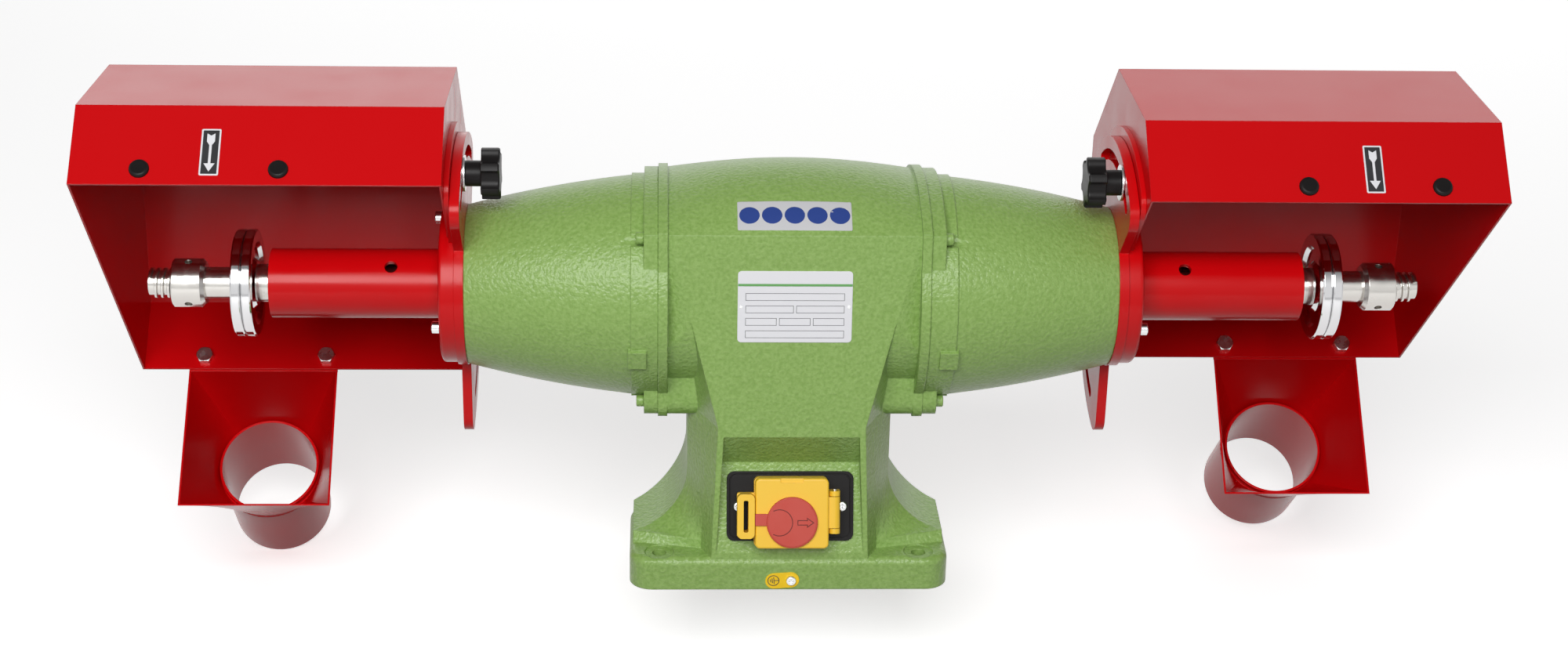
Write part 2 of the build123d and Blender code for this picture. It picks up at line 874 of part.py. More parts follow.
with BuildPart() as spindle_shaft:
    half_shaft = turned_sketch(
        (0, 0),
        (0, shaft_middle / 2),
        (shoulder_x, shaft_middle / 2),
        (shoulder_x, seal_radius),
        (bearing_inner_x, seal_radius),
        (bearing_inner_x, bearing_bore / 2),
        (inner_flange_x, bearing_bore / 2),
        (inner_flange_x, flange_seat / 2),
        (nut_start, flange_seat / 2),
        (nut_start, thread_major / 2),
        (thread_start, thread_major / 2),
        (thread_start, thread_root / 2),
        (spindle_end, thread_root / 2),
        (spindle_end, 0),
    )
    revolve(half_shaft, axis=spindle_axis)
    add(thread_ridge.part)
    mirror(about=Plane.YZ)
save(spindle_shaft, "spindle_shaft")


# Flanges that grip the wheel, and the nuts that press them together
def flange_sketch(seat_x, joint_x):
    """Half section of a flange: dished towards seat_x, flat towards joint_x."""
    way = 1 if joint_x > seat_x else -1
    rim = flange_diameter / 2
    bore = flange_seat / 2 + running_gap
    hub = flange_hub / 2
    edge = flange_edge
    dish = flange_dish / 2
    floor = seat_x + way * flange_dish_depth
    return turned_sketch(
        (seat_x, bore),
        (seat_x, hub),
        (floor, hub + flange_dish_depth),
        (floor, dish - flange_dish_depth),
        (seat_x, dish),
        (seat_x, rim - edge),
        (seat_x + way * edge, rim),
        (joint_x - way * edge, rim),
        (joint_x, rim - edge),
        (joint_x, bore),
    )


with BuildPart() as inner_flange:
    revolve(flange_sketch(inner_flange_x, flange_joint - hood_gap / 2), axis=spindle_axis)
save_pair(inner_flange, "inner_flange")

with BuildPart() as outer_flange:
    revolve(flange_sketch(outer_flange_x, flange_joint + hood_gap / 2), axis=spindle_axis)
save_pair(outer_flange, "outer_flange")

with BuildPart() as clamp_nut:
    nut_radius = nut_diameter / 2
    nut_outline = turned_sketch(
        (nut_start, thread_major / 2 + fit_gap),
        (nut_start, nut_radius - nut_chamfer),
        (nut_start + nut_chamfer, nut_radius),
        (nut_end - nut_edge, nut_radius),
        (nut_end, nut_radius - nut_edge),
        (nut_end, thread_major / 2 + fit_gap),
    )
    revolve(nut_outline, axis=spindle_axis)
    nut_middle_x = (nut_start + nut_end) / 2
    for index in range(tommy_count):
        turn = tommy_first + 360 * index / tommy_count
        hole_out = Vector(0, -cos(radians(turn)), sin(radians(turn)))
        hole_plane = Plane(
            origin=Vector(nut_middle_x, 0, axis_height) + hole_out * nut_radius, x_dir=(1, 0, 0), z_dir=hole_out
        )
        with BuildSketch(hole_plane):
            Circle(tommy_hole / 2)
        extrude(amount=-tommy_depth, mode=Mode.SUBTRACT)
save_pair(clamp_nut, "clamp_nut")

# Spindle tubes with their bolted flanges
tube_radius = tube_outside / 2
tube_bore = tube_radius - tube_wall
tube_hole_turn = radians(tube_hole_above)
with BuildPart() as spindle_tube:
    with BuildSketch(lengthwise_plane):
        with BuildLine():
            Polyline(
                (bracket_outer, tube_bore),
                (bracket_outer, tube_flange_radius),
                (tube_flange_outer - tube_flange_round, tube_flange_radius),
            )
            ThreePointArc(
                (tube_flange_outer - tube_flange_round, tube_flange_radius),
                (
                    tube_flange_outer - tube_flange_round * (1 - sin(radians(45))),
                    tube_flange_radius - tube_flange_round * (1 - cos(radians(45))),
                ),
                (tube_flange_outer, tube_flange_radius - tube_flange_round),
            )
            Polyline(
                (tube_flange_outer, tube_flange_radius - tube_flange_round),
                (tube_flange_outer, tube_radius),
                (tube_end, tube_radius),
                (tube_end, tube_bore),
                (bracket_outer, tube_bore),
            )
        make_face()
    revolve(axis=spindle_axis)
    with BuildSketch(section_plane(bracket_outer)):
        with PolarLocations(tube_screw_reach, 3, start_angle=180 - tube_screw_first):
            Circle(tube_screw / 2 + fit_gap)
    extrude(amount=tube_flange_thickness, mode=Mode.SUBTRACT)
    hole_out = Vector(0, -cos(tube_hole_turn), sin(tube_hole_turn))
    with BuildSketch(Plane(
        origin=Vector(tube_hole_x, 0, axis_height) + hole_out * tube_bore / 2,
        x_dir=(1, 0, 0),
        z_dir=hole_out,
    )):
        Circle(tube_hole / 2)
    extrude(amount=tube_outside, mode=Mode.SUBTRACT)
save_pair(spindle_tube, "spindle_tube")

tube_screw_length = tube_flange_thickness + bracket_thickness + tube_screw_bite
with BuildPart() as tube_screws:
    with Locations(section_plane(tube_flange_outer)):
        with PolarLocations(tube_screw_reach, 3, start_angle=180 - tube_screw_first):
            add(cap_screw(tube_screw, tube_screw_length))
    mirror(about=Plane.YZ)
save(tube_screws, "tube_screws")


# Bracket plates: a disc with two fan lobes, each with an arc slot
def fan_points(radius, middle, half):
    """Ends and middle of an arc, with angles from vertical towards the rear."""
    return [
        (radius * sin(radians(middle + turn)), radius * cos(radians(middle + turn))) for turn in (-half, 0, half)
    ]


def fan_sketch(x, radius, middle, half, corner):
    """Fan about the spindle with rounded outer corners."""
    first, middle_point, last = fan_points(radius, middle, half)
    with BuildSketch(section_plane(x)) as fan:
        with BuildLine():
            ThreePointArc(first, middle_point, last)
            Polyline(last, (0, 0), first)
        make_face()
        outer_corners = fan.vertices().sort_by_distance((0, 0))[1:]
        fillet(outer_corners, corner)
    return fan.sketch


def slot_sketch(x, radius, middle, half):
    """Arc slot about the spindle with round ends."""
    outer = fan_points(radius + slot_width / 2, middle, half)
    inner = fan_points(radius - slot_width / 2, middle, half)
    ends = fan_points(radius, middle, half)[::2]
    with BuildSketch(section_plane(x)) as slot:
        with BuildLine():
            ThreePointArc(*outer)
            ThreePointArc(*inner)
            Line(outer[0], inner[0])
            Line(outer[-1], inner[-1])
        make_face()
        with Locations(*ends):
            Circle(slot_width / 2)
    return slot.sketch


with BuildPart() as bracket_plate:
    extrude(ring_sketch(bell_end, bracket_disc_radius, bracket_bore / 4), amount=bracket_thickness)
    extrude(
        fan_sketch(bell_end, upper_lobe_radius, 0, upper_lobe_half, lobe_corner), amount=bracket_thickness
    )
    extrude(
        fan_sketch(bell_end, lower_lobe_radius, lower_lobe_middle, lower_lobe_half, lobe_corner),
        amount=bracket_thickness,
    )
    upper_slot = slot_sketch(bell_end, upper_slot_radius, 0, upper_slot_half)
    lower_slot = slot_sketch(bell_end, lower_slot_radius, lower_lobe_middle, lower_slot_half)
    for slot in (upper_slot, lower_slot):
        extrude(slot, amount=bracket_thickness, both=True, mode=Mode.SUBTRACT)
    with BuildSketch(section_plane(bell_end)):
        Circle(bracket_bore / 2)
        with PolarLocations(tube_screw_reach, 3, start_angle=180 - tube_screw_first):
            Circle(tube_screw / 2 + fit_gap)
    extrude(amount=bracket_thickness, mode=Mode.SUBTRACT)
save_pair(bracket_plate, "bracket_plate")

# Hoods: sheet wrap, two side walls, a thick plate on the inner wall
hood_path = [
    (hood_lip_y, hood_lip_z),
    (hood_lip_y + hood_front_run, hood_top_z),
    (hood_top_back, hood_top_z),
    (hood_back_y, hood_top_z - hood_back_run),
    (hood_back_y, hood_back_foot),
    (hood_back_y - hood_bottom_run, hood_back_foot - hood_bottom_run),
]
hood_foot = hood_path[-1]
hood_width = hood_outer_face - hood_inner_face
stud_y = -upper_slot_radius * sin(radians(stud_angle))
stud_z = upper_slot_radius * cos(radians(stud_angle))
front_lean = atan2(hood_top_z - hood_lip_z, hood_front_run)
front_out = Vector(0, -sin(front_lean), cos(front_lean))
cap_plane = Plane(
    origin=(
        hood_fitting_x,
        hood_lip_y + cap_from_lip * cos(front_lean),
        axis_height + hood_lip_z + cap_from_lip * sin(front_lean),
    ),
    x_dir=(1, 0, 0),
    z_dir=front_out,
)
slant = sqrt(0.5)
hopper_plane = Plane(
    origin=(hood_fitting_x, hood_foot[0], axis_height + hood_foot[1]), x_dir=(1, 0, 0), z_dir=(0, slant, -slant)
)
fitting_places = [(-cap_spacing / 2, 0), (cap_spacing / 2, 0)]
hopper_bolt_places = [(x, -bolt_from_edge) for x, y in fitting_places]

with BuildPart() as hood:
    with BuildSketch(section_plane(hood_inner_face)):
        with BuildLine() as wrap:
            Polyline(*hood_path)
            offset(amount=hood_sheet, side=Side.RIGHT, closed=True)
        make_face()
    extrude(amount=hood_width)
    for x in (hood_inner_face, hood_outer_face - hood_sheet):
        with BuildSketch(section_plane(x)):
            with BuildLine():
                Polyline(*hood_path, close=True)
            make_face()
        extrude(amount=hood_sheet)
    with BuildSketch(section_plane(hood_inner_face)):
        Circle(pivot_radius)
        with Locations((stud_y, stud_z)):
            Circle(stud_diameter / 2 + fit_gap)
    extrude(amount=hood_sheet, mode=Mode.SUBTRACT)
    with BuildSketch(cap_plane):
        with Locations(*fitting_places):
            Circle(cap_hole / 2)
    extrude(amount=-2 * hood_sheet, mode=Mode.SUBTRACT)
    with BuildSketch(hopper_plane):
        with Locations(*hopper_bolt_places):
            Circle(hopper_bolt / 2 + fit_gap)
    extrude(amount=-2 * hood_sheet, mode=Mode.SUBTRACT)
save_hood_pair(hood, "hood")

with BuildPart() as hood_plate:
    plate_middle = (hood_plate_back - hood_plate_front) / 2
    plate_half = (hood_plate_back + hood_plate_front) / 2
    extrude(
        fan_sketch(hood_plate_inner, hood_plate_radius, plate_middle, plate_half, lobe_corner),
        amount=hood_plate_thickness,
    )
    with BuildSketch(section_plane(hood_plate_inner)):
        Circle(pivot_radius)
        with Locations((stud_y, stud_z)):
            Circle(stud_diameter / 2 + fit_gap)
    extrude(amount=hood_plate_thickness, mode=Mode.SUBTRACT)
save_hood_pair(hood_plate, "hood_plate")

# Clamp stud, washer and knob on the axis of the stud
stud_head = 2 * stud_diameter
stud_head_height = stud_diameter / 2
stud_head_x = hood_inner_face + hood_sheet
washer_x = bell_end - hood_gap
hub_x = washer_x - washer_thickness - hood_gap
head_x = hub_x - knob_hub_length
knob_end_x = head_x - knob_head_length
stud_end_x = knob_end_x + knob_head_length / 2


def stud_plane(x):
    return Plane(origin=(x, stud_y, axis_height + stud_z), x_dir=(0, 1, 0), z_dir=(1, 0, 0))


with BuildPart() as clamp_stud:
    with BuildSketch(stud_plane(stud_head_x)):
        Circle(stud_head / 2)
    extrude(amount=stud_head_height)
    fillet(clamp_stud.edges().group_by(Axis.X)[-1], stud_head_round)
    with BuildSketch(stud_plane(stud_head_x)):
        Circle(stud_diameter / 2)
    extrude(amount=stud_end_x - stud_head_x)
save_hood_pair(clamp_stud, "clamp_stud")

with BuildPart() as clamp_washer:
    with BuildSketch(stud_plane(washer_x)):
        Circle(washer_diameter / 2)
        Circle(stud_diameter / 2 + hood_gap, mode=Mode.SUBTRACT)
    extrude(amount=-washer_thickness)
save_hood_pair(clamp_washer, "clamp_washer")

with BuildPart() as clamp_knob:
    with BuildSketch(stud_plane(head_x)):
        Circle(knob_head / 2)
        with PolarLocations(knob_head / 2 + knob_scallop_offset, knob_lobes):
            Circle(knob_scallop, mode=Mode.SUBTRACT)
    extrude(amount=-knob_head_length)
    fillet(clamp_knob.edges().group_by(Axis.X)[0], knob_edge)
    fillet(clamp_knob.edges().group_by(Axis.X)[-1], knob_edge / 2)
    with BuildSketch(stud_plane(head_x)):
        Circle(knob_hub / 2)
    extrude(amount=knob_hub_length)
    with BuildSketch(stud_plane(hub_x)):
        Circle(stud_diameter / 2 + hood_gap)
    extrude(amount=-(hub_x - stud_end_x) - 2 * hood_gap, mode=Mode.SUBTRACT)
save_hood_pair(clamp_knob, "clamp_knob")

# Hole caps on the front panel
with BuildPart() as hood_caps:
    with BuildSketch(cap_plane):
        with Locations(*fitting_places):
            Circle(cap_diameter / 2)
    extrude(amount=cap_rise)
    fillet(hood_caps.faces().sort_by(Axis(cap_plane.origin, front_out))[-2:].edges(), cap_edge)
    with BuildSketch(cap_plane):
        with Locations(*fitting_places):
            Circle(cap_hole / 2 - fit_gap)
    extrude(amount=-3 * hood_sheet)
save_hood_pair(hood_caps, "hood_caps")

# Hopper: bolted flange, square mouth that narrows to the round spout
spout_radius = spout_outside / 2
mouth_middle = (hopper_shift, hopper_height / 2)
spout_middle = (spout_shift, spout_from_edge)


def mouth_sketch(shrink):
    with BuildSketch(hopper_plane) as mouth:
        with Locations(mouth_middle):
            Rectangle(hopper_width - 2 * shrink, hopper_height - 2 * shrink)
    return mouth.sketch


def throat_sketch(radius):
    """Circle in four quarters that start at the corners, to match the four sides of the mouth."""
    corners = [(spout_middle[0] + sx * radius * slant, spout_middle[1] + sy * radius * slant)
               for sx, sy in ((-1, -1), (1, -1), (1, 1), (-1, 1))]
    sides = [(spout_middle[0] + sx * radius, spout_middle[1] + sy * radius)
             for sx, sy in ((0, -1), (1, 0), (0, 1), (-1, 0))]
    with BuildSketch(hopper_plane.offset(hopper_depth)) as throat:
        with BuildLine():
            for start, side, end in zip(corners, sides, corners[1:] + corners[:1]):
                ThreePointArc(start, side, end)
        make_face()
    return throat.sketch


with BuildPart() as hopper:
    loft([mouth_sketch(0), throat_sketch(spout_radius + hopper_sheet)], ruled=True)
    loft([mouth_sketch(hopper_sheet), throat_sketch(spout_radius)], ruled=True, mode=Mode.SUBTRACT)
    with BuildSketch(hopper_plane):
        with Locations((hopper_shift, (hopper_sheet - hopper_flange) / 2)):
            Rectangle(hopper_width, hopper_flange + hopper_sheet)
        with Locations(*hopper_bolt_places):
            Circle(hopper_bolt / 2 + fit_gap, mode=Mode.SUBTRACT)
    extrude(amount=hopper_sheet)
save_hood_pair(hopper, "hopper")

with BuildPart() as spout:
    with BuildSketch(hopper_plane.offset(hopper_depth - spout_inset)):
        with Locations(spout_middle):
            Circle(spout_radius)
    extrude(amount=spout_length)
    with Locations(hopper_plane.offset(hopper_depth)):
        with Locations(spout_middle):
            Cone(
                spout_radius + weld_size,
                spout_radius - weld_root,
                weld_size + weld_root,
                align=(Align.CENTER, Align.CENTER, Align.MIN),
            )
    with BuildSketch(hopper_plane.offset(hopper_depth - spout_inset)):
        with Locations(spout_middle):
            Circle(spout_radius - spout_wall)
    extrude(amount=spout_length, mode=Mode.SUBTRACT)
save_hood_pair(spout, "spout")

with BuildPart() as hopper_bolts:
    with Locations(hopper_plane.offset(-hood_sheet)):
        with Locations(*hopper_bolt_places):
            add(hex_head(hopper_bolt_head, hopper_bolt_head_height).rotate(Axis.X, 180))
    bolt_length = hood_sheet + hopper_sheet + hopper_nut_height + hopper_bolt_spare
    with BuildSketch(hopper_plane.offset(-hood_sheet)):
        with Locations(*hopper_bolt_places):
            Circle(hopper_bolt / 2)
    extrude(amount=bolt_length)
save_hood_pair(hopper_bolts, "hopper_bolts")

with BuildPart() as hopper_nuts:
    with Locations(hopper_plane.offset(hopper_sheet)):
        with Locations(*hopper_bolt_places):
            add(hex_head(hopper_bolt_head, hopper_nut_height))
    with BuildSketch(hopper_plane.offset(hopper_sheet)):
        with Locations(*hopper_bolt_places):
            Circle(hopper_bolt / 2 + fit_gap)
    extrude(amount=hopper_nut_height, mode=Mode.SUBTRACT)
save_hood_pair(hopper_nuts, "hopper_nuts")

# Cover under the base, let in flush, with countersunk screws
def countersunk_screw():
    """Countersunk screw with its face at z = 0 and its shank up."""
    slope = (cover_screw_head - cover_screw) / 2
    with BuildPart() as screw:
        with BuildSketch(Plane.XZ):
            with BuildLine():
                Polyline(
                    (0, 0),
                    (cover_screw_head / 2, 0),
                    (cover_screw / 2, slope),
                    (cover_screw / 2, cover_screw_length),
                    (0, cover_screw_length),
                    close=True,
                )
            make_face()
        revolve(axis=Axis.Z)
    return screw.part


with BuildPart() as base_cover:
    with BuildSketch():
        RectangleRounded(
            2 * (cavity_half_x + cover_lap - fit_gap), 2 * (cavity_half_y + cover_lap - fit_gap), foot_corner
        )
    extrude(amount=cover_thickness)
    with Locations(*cover_places):
        add(countersunk_screw(), mode=Mode.SUBTRACT)
save(base_cover, "base_cover")

with BuildPart() as base_cover_screws:
    with Locations(*cover_places):
        add(countersunk_screw())
    with BuildSketch():
        with Locations(*cover_places):
            Rectangle(cover_screw, cover_screw / 5)
            Rectangle(cover_screw / 5, cover_screw)
    extrude(amount=cover_screw / 4, mode=Mode.SUBTRACT)
save(base_cover_screws, "base_cover_screws")

# Cable gland at the rear
with BuildPart() as cable_gland:
    with BuildSketch(gland_seat):
        RegularPolygon(gland_hex / 2, 6, major_radius=False)
    extrude(amount=gland_collar)
    with BuildSketch(gland_seat):
        Circle(gland_thread / 2)
    extrude(amount=-gland_thread_length)
    with BuildSketch(gland_seat.offset(gland_collar)):
        Circle(gland_cap_diameter / 2)
    extrude(amount=gland_cap)
    fillet(cable_gland.edges().group_by(Axis.Y)[-1], gland_edge)
    with BuildSketch(gland_seat.offset(gland_collar + gland_cap)):
        Circle(gland_bore / 2)
    extrude(amount=-gland_collar - gland_cap - gland_thread_length, mode=Mode.SUBTRACT)
save(cable_gland, "cable_gland")


# Switch: plate on the panel, contact box behind it, frame with a latch bow and hinge ears on it
def panel_rectangle(rise, left, right, bottom, top, corner):
    """Rounded rectangle at a height above the switch plate, given by its four sides."""
    with BuildSketch(plate_plane.offset(rise)) as outline:
        with Locations(((left + right) / 2, (bottom + top) / 2)):
            RectangleRounded(right - left, top - bottom, corner)
    return outline.sketch


def hinge_plane(y):
    """Plane across the lid hinge, with local x along the plate and local y out of it."""
    return Plane(
        origin=plate_plane.origin + plate_plane.y_dir * y, x_dir=plate_plane.x_dir, z_dir=-plate_plane.y_dir
    )


panel_axis = Axis(plate_plane.origin, plate_plane.z_dir)
button_well_radius = button_diameter / 2 + hood_gap
with BuildPart() as switch_plate:
    with BuildSketch(switch_plane):
        RectangleRounded(plate_width, plate_height, plate_corner)
        with Locations(*panel_screw_places):
            Circle(screw_hole, mode=Mode.SUBTRACT)
        with Locations(*button_places.values()):
            Circle(button_well_radius, mode=Mode.SUBTRACT)
    extrude(amount=plate_thickness)
    with BuildSketch(plate_plane):
        RectangleRounded(plate_width - 4 * plate_groove, plate_height - 4 * plate_groove, plate_corner)
        offset(amount=-plate_groove, mode=Mode.SUBTRACT)
    extrude(amount=-plate_groove / 2, mode=Mode.SUBTRACT)
save(switch_plate, "switch_plate")

with BuildPart() as switch_box:
    with BuildSketch(switch_plane):
        with Locations((pad_x, box_middle_y)):
            Rectangle(box_width, box_height)
    extrude(amount=-box_depth)
    with BuildSketch(switch_plane):
        with Locations(*button_places.values()):
            Circle(button_well_radius)
    extrude(amount=-button_well, mode=Mode.SUBTRACT)
save(switch_box, "switch_box")

ear_tops = (lug_top, lug_bottom + ear_length)
ear_left = hinge_x - hinge_radius
ear_right = hinge_x + hinge_radius
with BuildPart() as switch_frame:
    extrude(
        panel_rectangle(0, frame_left, frame_right, frame_bottom, frame_top, frame_corner), amount=frame_rise
    )
    inside = panel_rectangle(
        0,
        frame_left + frame_wall,
        frame_right - frame_wall,
        frame_bottom + frame_wall,
        frame_top - frame_wall,
        frame_corner / 2,
    )
    extrude(inside, amount=frame_rise, mode=Mode.SUBTRACT)
    bow_root = panel_rectangle(bow_low, bow_left, frame_left + frame_wall, bow_bottom, bow_top, bow_corner / 2)
    extrude(bow_root, amount=frame_rise - bow_low)
    extrude(
        panel_rectangle(bow_low, bow_left, bow_right, bow_bottom, bow_top, bow_corner), amount=bow_high - bow_low
    )
    bow_slot = panel_rectangle(
        bow_low, bow_left + bow_bar, bow_right - bow_bar, bow_bottom + bow_bar, bow_top - bow_bar, bow_bar / 4
    )
    extrude(bow_slot, amount=bow_high - bow_low, mode=Mode.SUBTRACT)
    for ear_top in ear_tops:
        with BuildSketch(hinge_plane(ear_top)):
            with BuildLine():
                ThreePointArc((ear_left, hinge_rise), (hinge_x, hinge_rise + hinge_radius), (ear_right, hinge_rise))
                Polyline(
                    (ear_right, hinge_rise),
                    (ear_right, 0),
                    (frame_right - frame_wall, 0),
                    (frame_right - frame_wall, frame_rise),
                    (ear_left, frame_rise),
                    (ear_left, hinge_rise),
                )
            make_face()
            with Locations((hinge_x, hinge_rise)):
                Circle(hinge_pin / 2, mode=Mode.SUBTRACT)
        extrude(amount=ear_length)
save(switch_frame, "switch_frame")

with BuildPart() as lid_pin:
    with BuildSketch(hinge_plane(lug_top + hinge_pin / 2)):
        with Locations((hinge_x, hinge_rise)):
            Circle(hinge_pin / 2)
    extrude(amount=lug_top + hinge_pin / 2 - lug_bottom)
save(lid_pin, "lid_pin")

# Lid: hollow cap over the buttons, with its hinge knuckle between the ears
lid_low = frame_rise + lid_gap
lid_top = lid_low + lid_rise
lid_under = lid_top - lid_wall
knuckle_top = lug_top - ear_length - lid_gap
knuckle_bottom = lug_bottom + ear_length + lid_gap
web_left = frame_right - lid_wall
with BuildPart() as switch_lid:
    extrude(panel_rectangle(lid_low, lid_left, frame_right, frame_bottom, frame_top, frame_corner), amount=lid_rise)
    fillet(switch_lid.faces().sort_by(panel_axis)[-1].edges(), lid_edge)
    hollow = panel_rectangle(
        lid_low,
        lid_left + lid_wall,
        frame_right - lid_wall,
        frame_bottom + lid_wall,
        frame_top - lid_wall,
        frame_corner / 2,
    )
    extrude(hollow, amount=lid_rise - lid_wall, mode=Mode.SUBTRACT)
    notch = panel_rectangle(
        lid_top - lid_notch_depth,
        pad_x - lid_notch_width / 2,
        pad_x + lid_notch_width / 2,
        frame_top - lid_notch_reach,
        frame_top + lid_notch_reach,
        lid_notch_depth,
    )
    extrude(notch, amount=lid_notch_depth, mode=Mode.SUBTRACT)
    with BuildSketch(hinge_plane(knuckle_top)):
        with Locations((hinge_x, hinge_rise)):
            Circle(hinge_radius)
        with Locations(((web_left + hinge_x) / 2, (lid_low + hinge_rise + hinge_radius) / 2)):
            Rectangle(hinge_x - web_left, hinge_rise + hinge_radius - lid_low)
    extrude(amount=knuckle_top - knuckle_bottom)
    with BuildSketch(hinge_plane(knuckle_top)):
        with Locations((hinge_x, hinge_rise)):
            Circle(hinge_pin / 2 + fit_gap)
    extrude(amount=knuckle_top - knuckle_bottom, mode=Mode.SUBTRACT)
    with BuildSketch(plate_plane.offset(lid_under)):
        with Locations((pad_x + pad_travel / 2, pad_y)):
            Rectangle(pad_guide + pad_travel + 2 * hood_gap, pad_guide + 2 * hood_gap)
    extrude(amount=lid_wall, mode=Mode.SUBTRACT)
save(switch_lid, "switch_lid")

# Stop pad: disc and tongue on the lid, with a stem through the lid and a foot below it
pad_low = lid_top + hood_gap
pad_top = pad_low + pad_thickness
foot_top = lid_under - hood_gap
with BuildPart() as stop_pad:
    with BuildSketch(plate_plane.offset(pad_low)):
        with Locations((pad_x, pad_y)):
            Circle(pad_diameter / 2)
    extrude(amount=pad_thickness)
    fillet(stop_pad.faces().sort_by(panel_axis)[-1].edges(), pad_edge)
    tongue = panel_rectangle(pad_low, tongue_tip, pad_x, tongue_bottom, tongue_top, pad_edge)
    extrude(tongue, amount=tongue_thickness)
    with BuildSketch(plate_plane.offset(foot_top)):
        with Locations((pad_x, pad_y)):
            Rectangle(pad_guide, pad_guide)
    extrude(amount=pad_low - foot_top)
    with BuildSketch(plate_plane.offset(foot_top)):
        with Locations((pad_x, pad_y)):
            Rectangle(pad_foot, pad_foot)
    extrude(amount=-pad_foot_thickness)
    with BuildSketch(plate_plane.offset(pad_top)):
        with Locations((pad_x + thumb_x, pad_y)):
            Circle(thumb_radius)
            Circle(thumb_radius - engraving_width, mode=Mode.SUBTRACT)
        with Locations((pad_x + thumb_cut + pad_diameter / 2, pad_y)):
            Rectangle(pad_diameter, pad_diameter, mode=Mode.INTERSECT)
    extrude(amount=-engraving, mode=Mode.SUBTRACT)
    with BuildSketch(plate_plane.offset(pad_top)):
        with BuildLine():
            with Locations((pad_x, pad_y)):
                Polyline(
                    (arrow_tail, arrow_half),
                    (arrow_neck, arrow_half),
                    (arrow_neck, arrow_head_half),
                    (arrow_tip, 0),
                    (arrow_neck, -arrow_head_half),
                    (arrow_neck, -arrow_half),
                    (arrow_tail, -arrow_half),
                    close=True,
                )
        make_face()
        offset(amount=-engraving_width, mode=Mode.SUBTRACT)
    extrude(amount=-engraving, mode=Mode.SUBTRACT)
save(stop_pad, "stop_pad")

# Start and stop buttons under the lid
for name, place in button_places.items():
    with BuildPart() as button:
        with BuildSketch(plate_plane.offset(button_rise)):
            with Locations(place):
                Circle(button_diameter / 2)
        extrude(amount=-button_length)
        chamfer(button.edges().sort_by(panel_axis)[-1], button_edge)
    save(button, name + "_button")

# Earth tag on the front of the base, and the pan head screws
with BuildPart() as earth_tag:
    with BuildSketch(earth_screw_plane):
        with Locations(Location((earth_screw_x, 0, 0), (0, 0, earth_turn))):
            with Locations((-earth_screw_offset, 0)):
                SlotOverall(earth_length, earth_width)
        with Locations((earth_screw_x, 0)):
            Circle(screw_hole, mode=Mode.SUBTRACT)
    extrude(amount=earth_thickness)
save(earth_tag, "earth_tag")

with BuildPart() as panel_screws:
    with Locations(plate_plane):
        with Locations(*panel_screw_places):
            add(pan_screw())
    with Locations(earth_screw_plane.offset(earth_thickness)):
        with Locations((earth_screw_x, 0)):
            add(pan_screw())
save(panel_screws, "panel_screws")

# Leads from the switch box to the winding
lead_start = (
    switch_plane.origin
    + switch_plane.x_dir * pad_x
    + switch_plane.y_dir * box_middle_y
    - switch_plane.z_dir * box_depth
)
with BuildPart() as motor_leads:
    with BuildLine() as lead_path:
        FilletPolyline(
            lead_start,
            lead_start - switch_plane.z_dir * lead_run,
            (lead_x, 0, lead_rise_z),
            (lead_x, 0, axis_height - end_turn_outside),
            radius=lead_bend,
        )
    with BuildSketch(Plane(origin=lead_start, x_dir=(1, 0, 0), z_dir=-switch_plane.z_dir)):
        Circle(lead_diameter / 2)
    sweep(path=lead_path.line)
save(motor_leads, "motor_leads")
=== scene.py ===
"""Double-ended polishing lathe: finishes, labels, pad face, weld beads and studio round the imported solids.

Metres, in the frame of the solids: +X along the spindle to the right, -Y to the operator, +Z up.
"""

import json
from math import atan2, cos, pi, radians, sin

import bmesh
import bpy
from mathutils import Matrix, Vector
from mathutils.bvhtree import BVHTree


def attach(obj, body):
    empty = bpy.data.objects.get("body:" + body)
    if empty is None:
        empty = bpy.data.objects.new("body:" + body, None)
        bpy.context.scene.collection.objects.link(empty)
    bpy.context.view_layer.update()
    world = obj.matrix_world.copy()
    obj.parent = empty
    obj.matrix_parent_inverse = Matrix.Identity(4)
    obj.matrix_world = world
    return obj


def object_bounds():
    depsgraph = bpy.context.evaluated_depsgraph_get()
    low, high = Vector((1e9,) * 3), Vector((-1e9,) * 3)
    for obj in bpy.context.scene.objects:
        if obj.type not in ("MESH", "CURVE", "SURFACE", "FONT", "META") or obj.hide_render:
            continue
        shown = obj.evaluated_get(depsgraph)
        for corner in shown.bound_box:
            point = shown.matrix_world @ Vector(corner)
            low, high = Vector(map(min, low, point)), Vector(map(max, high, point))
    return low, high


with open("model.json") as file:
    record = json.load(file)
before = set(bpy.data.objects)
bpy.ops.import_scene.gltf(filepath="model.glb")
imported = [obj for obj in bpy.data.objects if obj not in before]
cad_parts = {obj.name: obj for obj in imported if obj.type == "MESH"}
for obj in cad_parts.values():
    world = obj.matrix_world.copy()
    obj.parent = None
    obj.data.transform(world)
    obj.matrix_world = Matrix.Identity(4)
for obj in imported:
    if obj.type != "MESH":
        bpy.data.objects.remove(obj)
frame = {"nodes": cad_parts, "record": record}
solid_low, solid_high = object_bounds()

# Sizes shared with the solids
mm = 0.001
axis_height = 221 * mm
hood_middle_x = 438 * mm
panel_depth = 25 * mm
panel_height = 68 * mm
hood_turn = {
    "left": Matrix.Rotation(radians(-3.2), 3, "X"),
    "right": Matrix.Rotation(radians(1.0), 3, "X"),
}
side_sign = {"left": -1, "right": 1}
rightward = Vector((1, 0, 0))


def add_object(name, data):
    piece = bpy.data.objects.new(name, data)
    bpy.context.scene.collection.objects.link(piece)
    return piece


def in_mm(points):
    return [(x * mm, y * mm) for x, y in points]


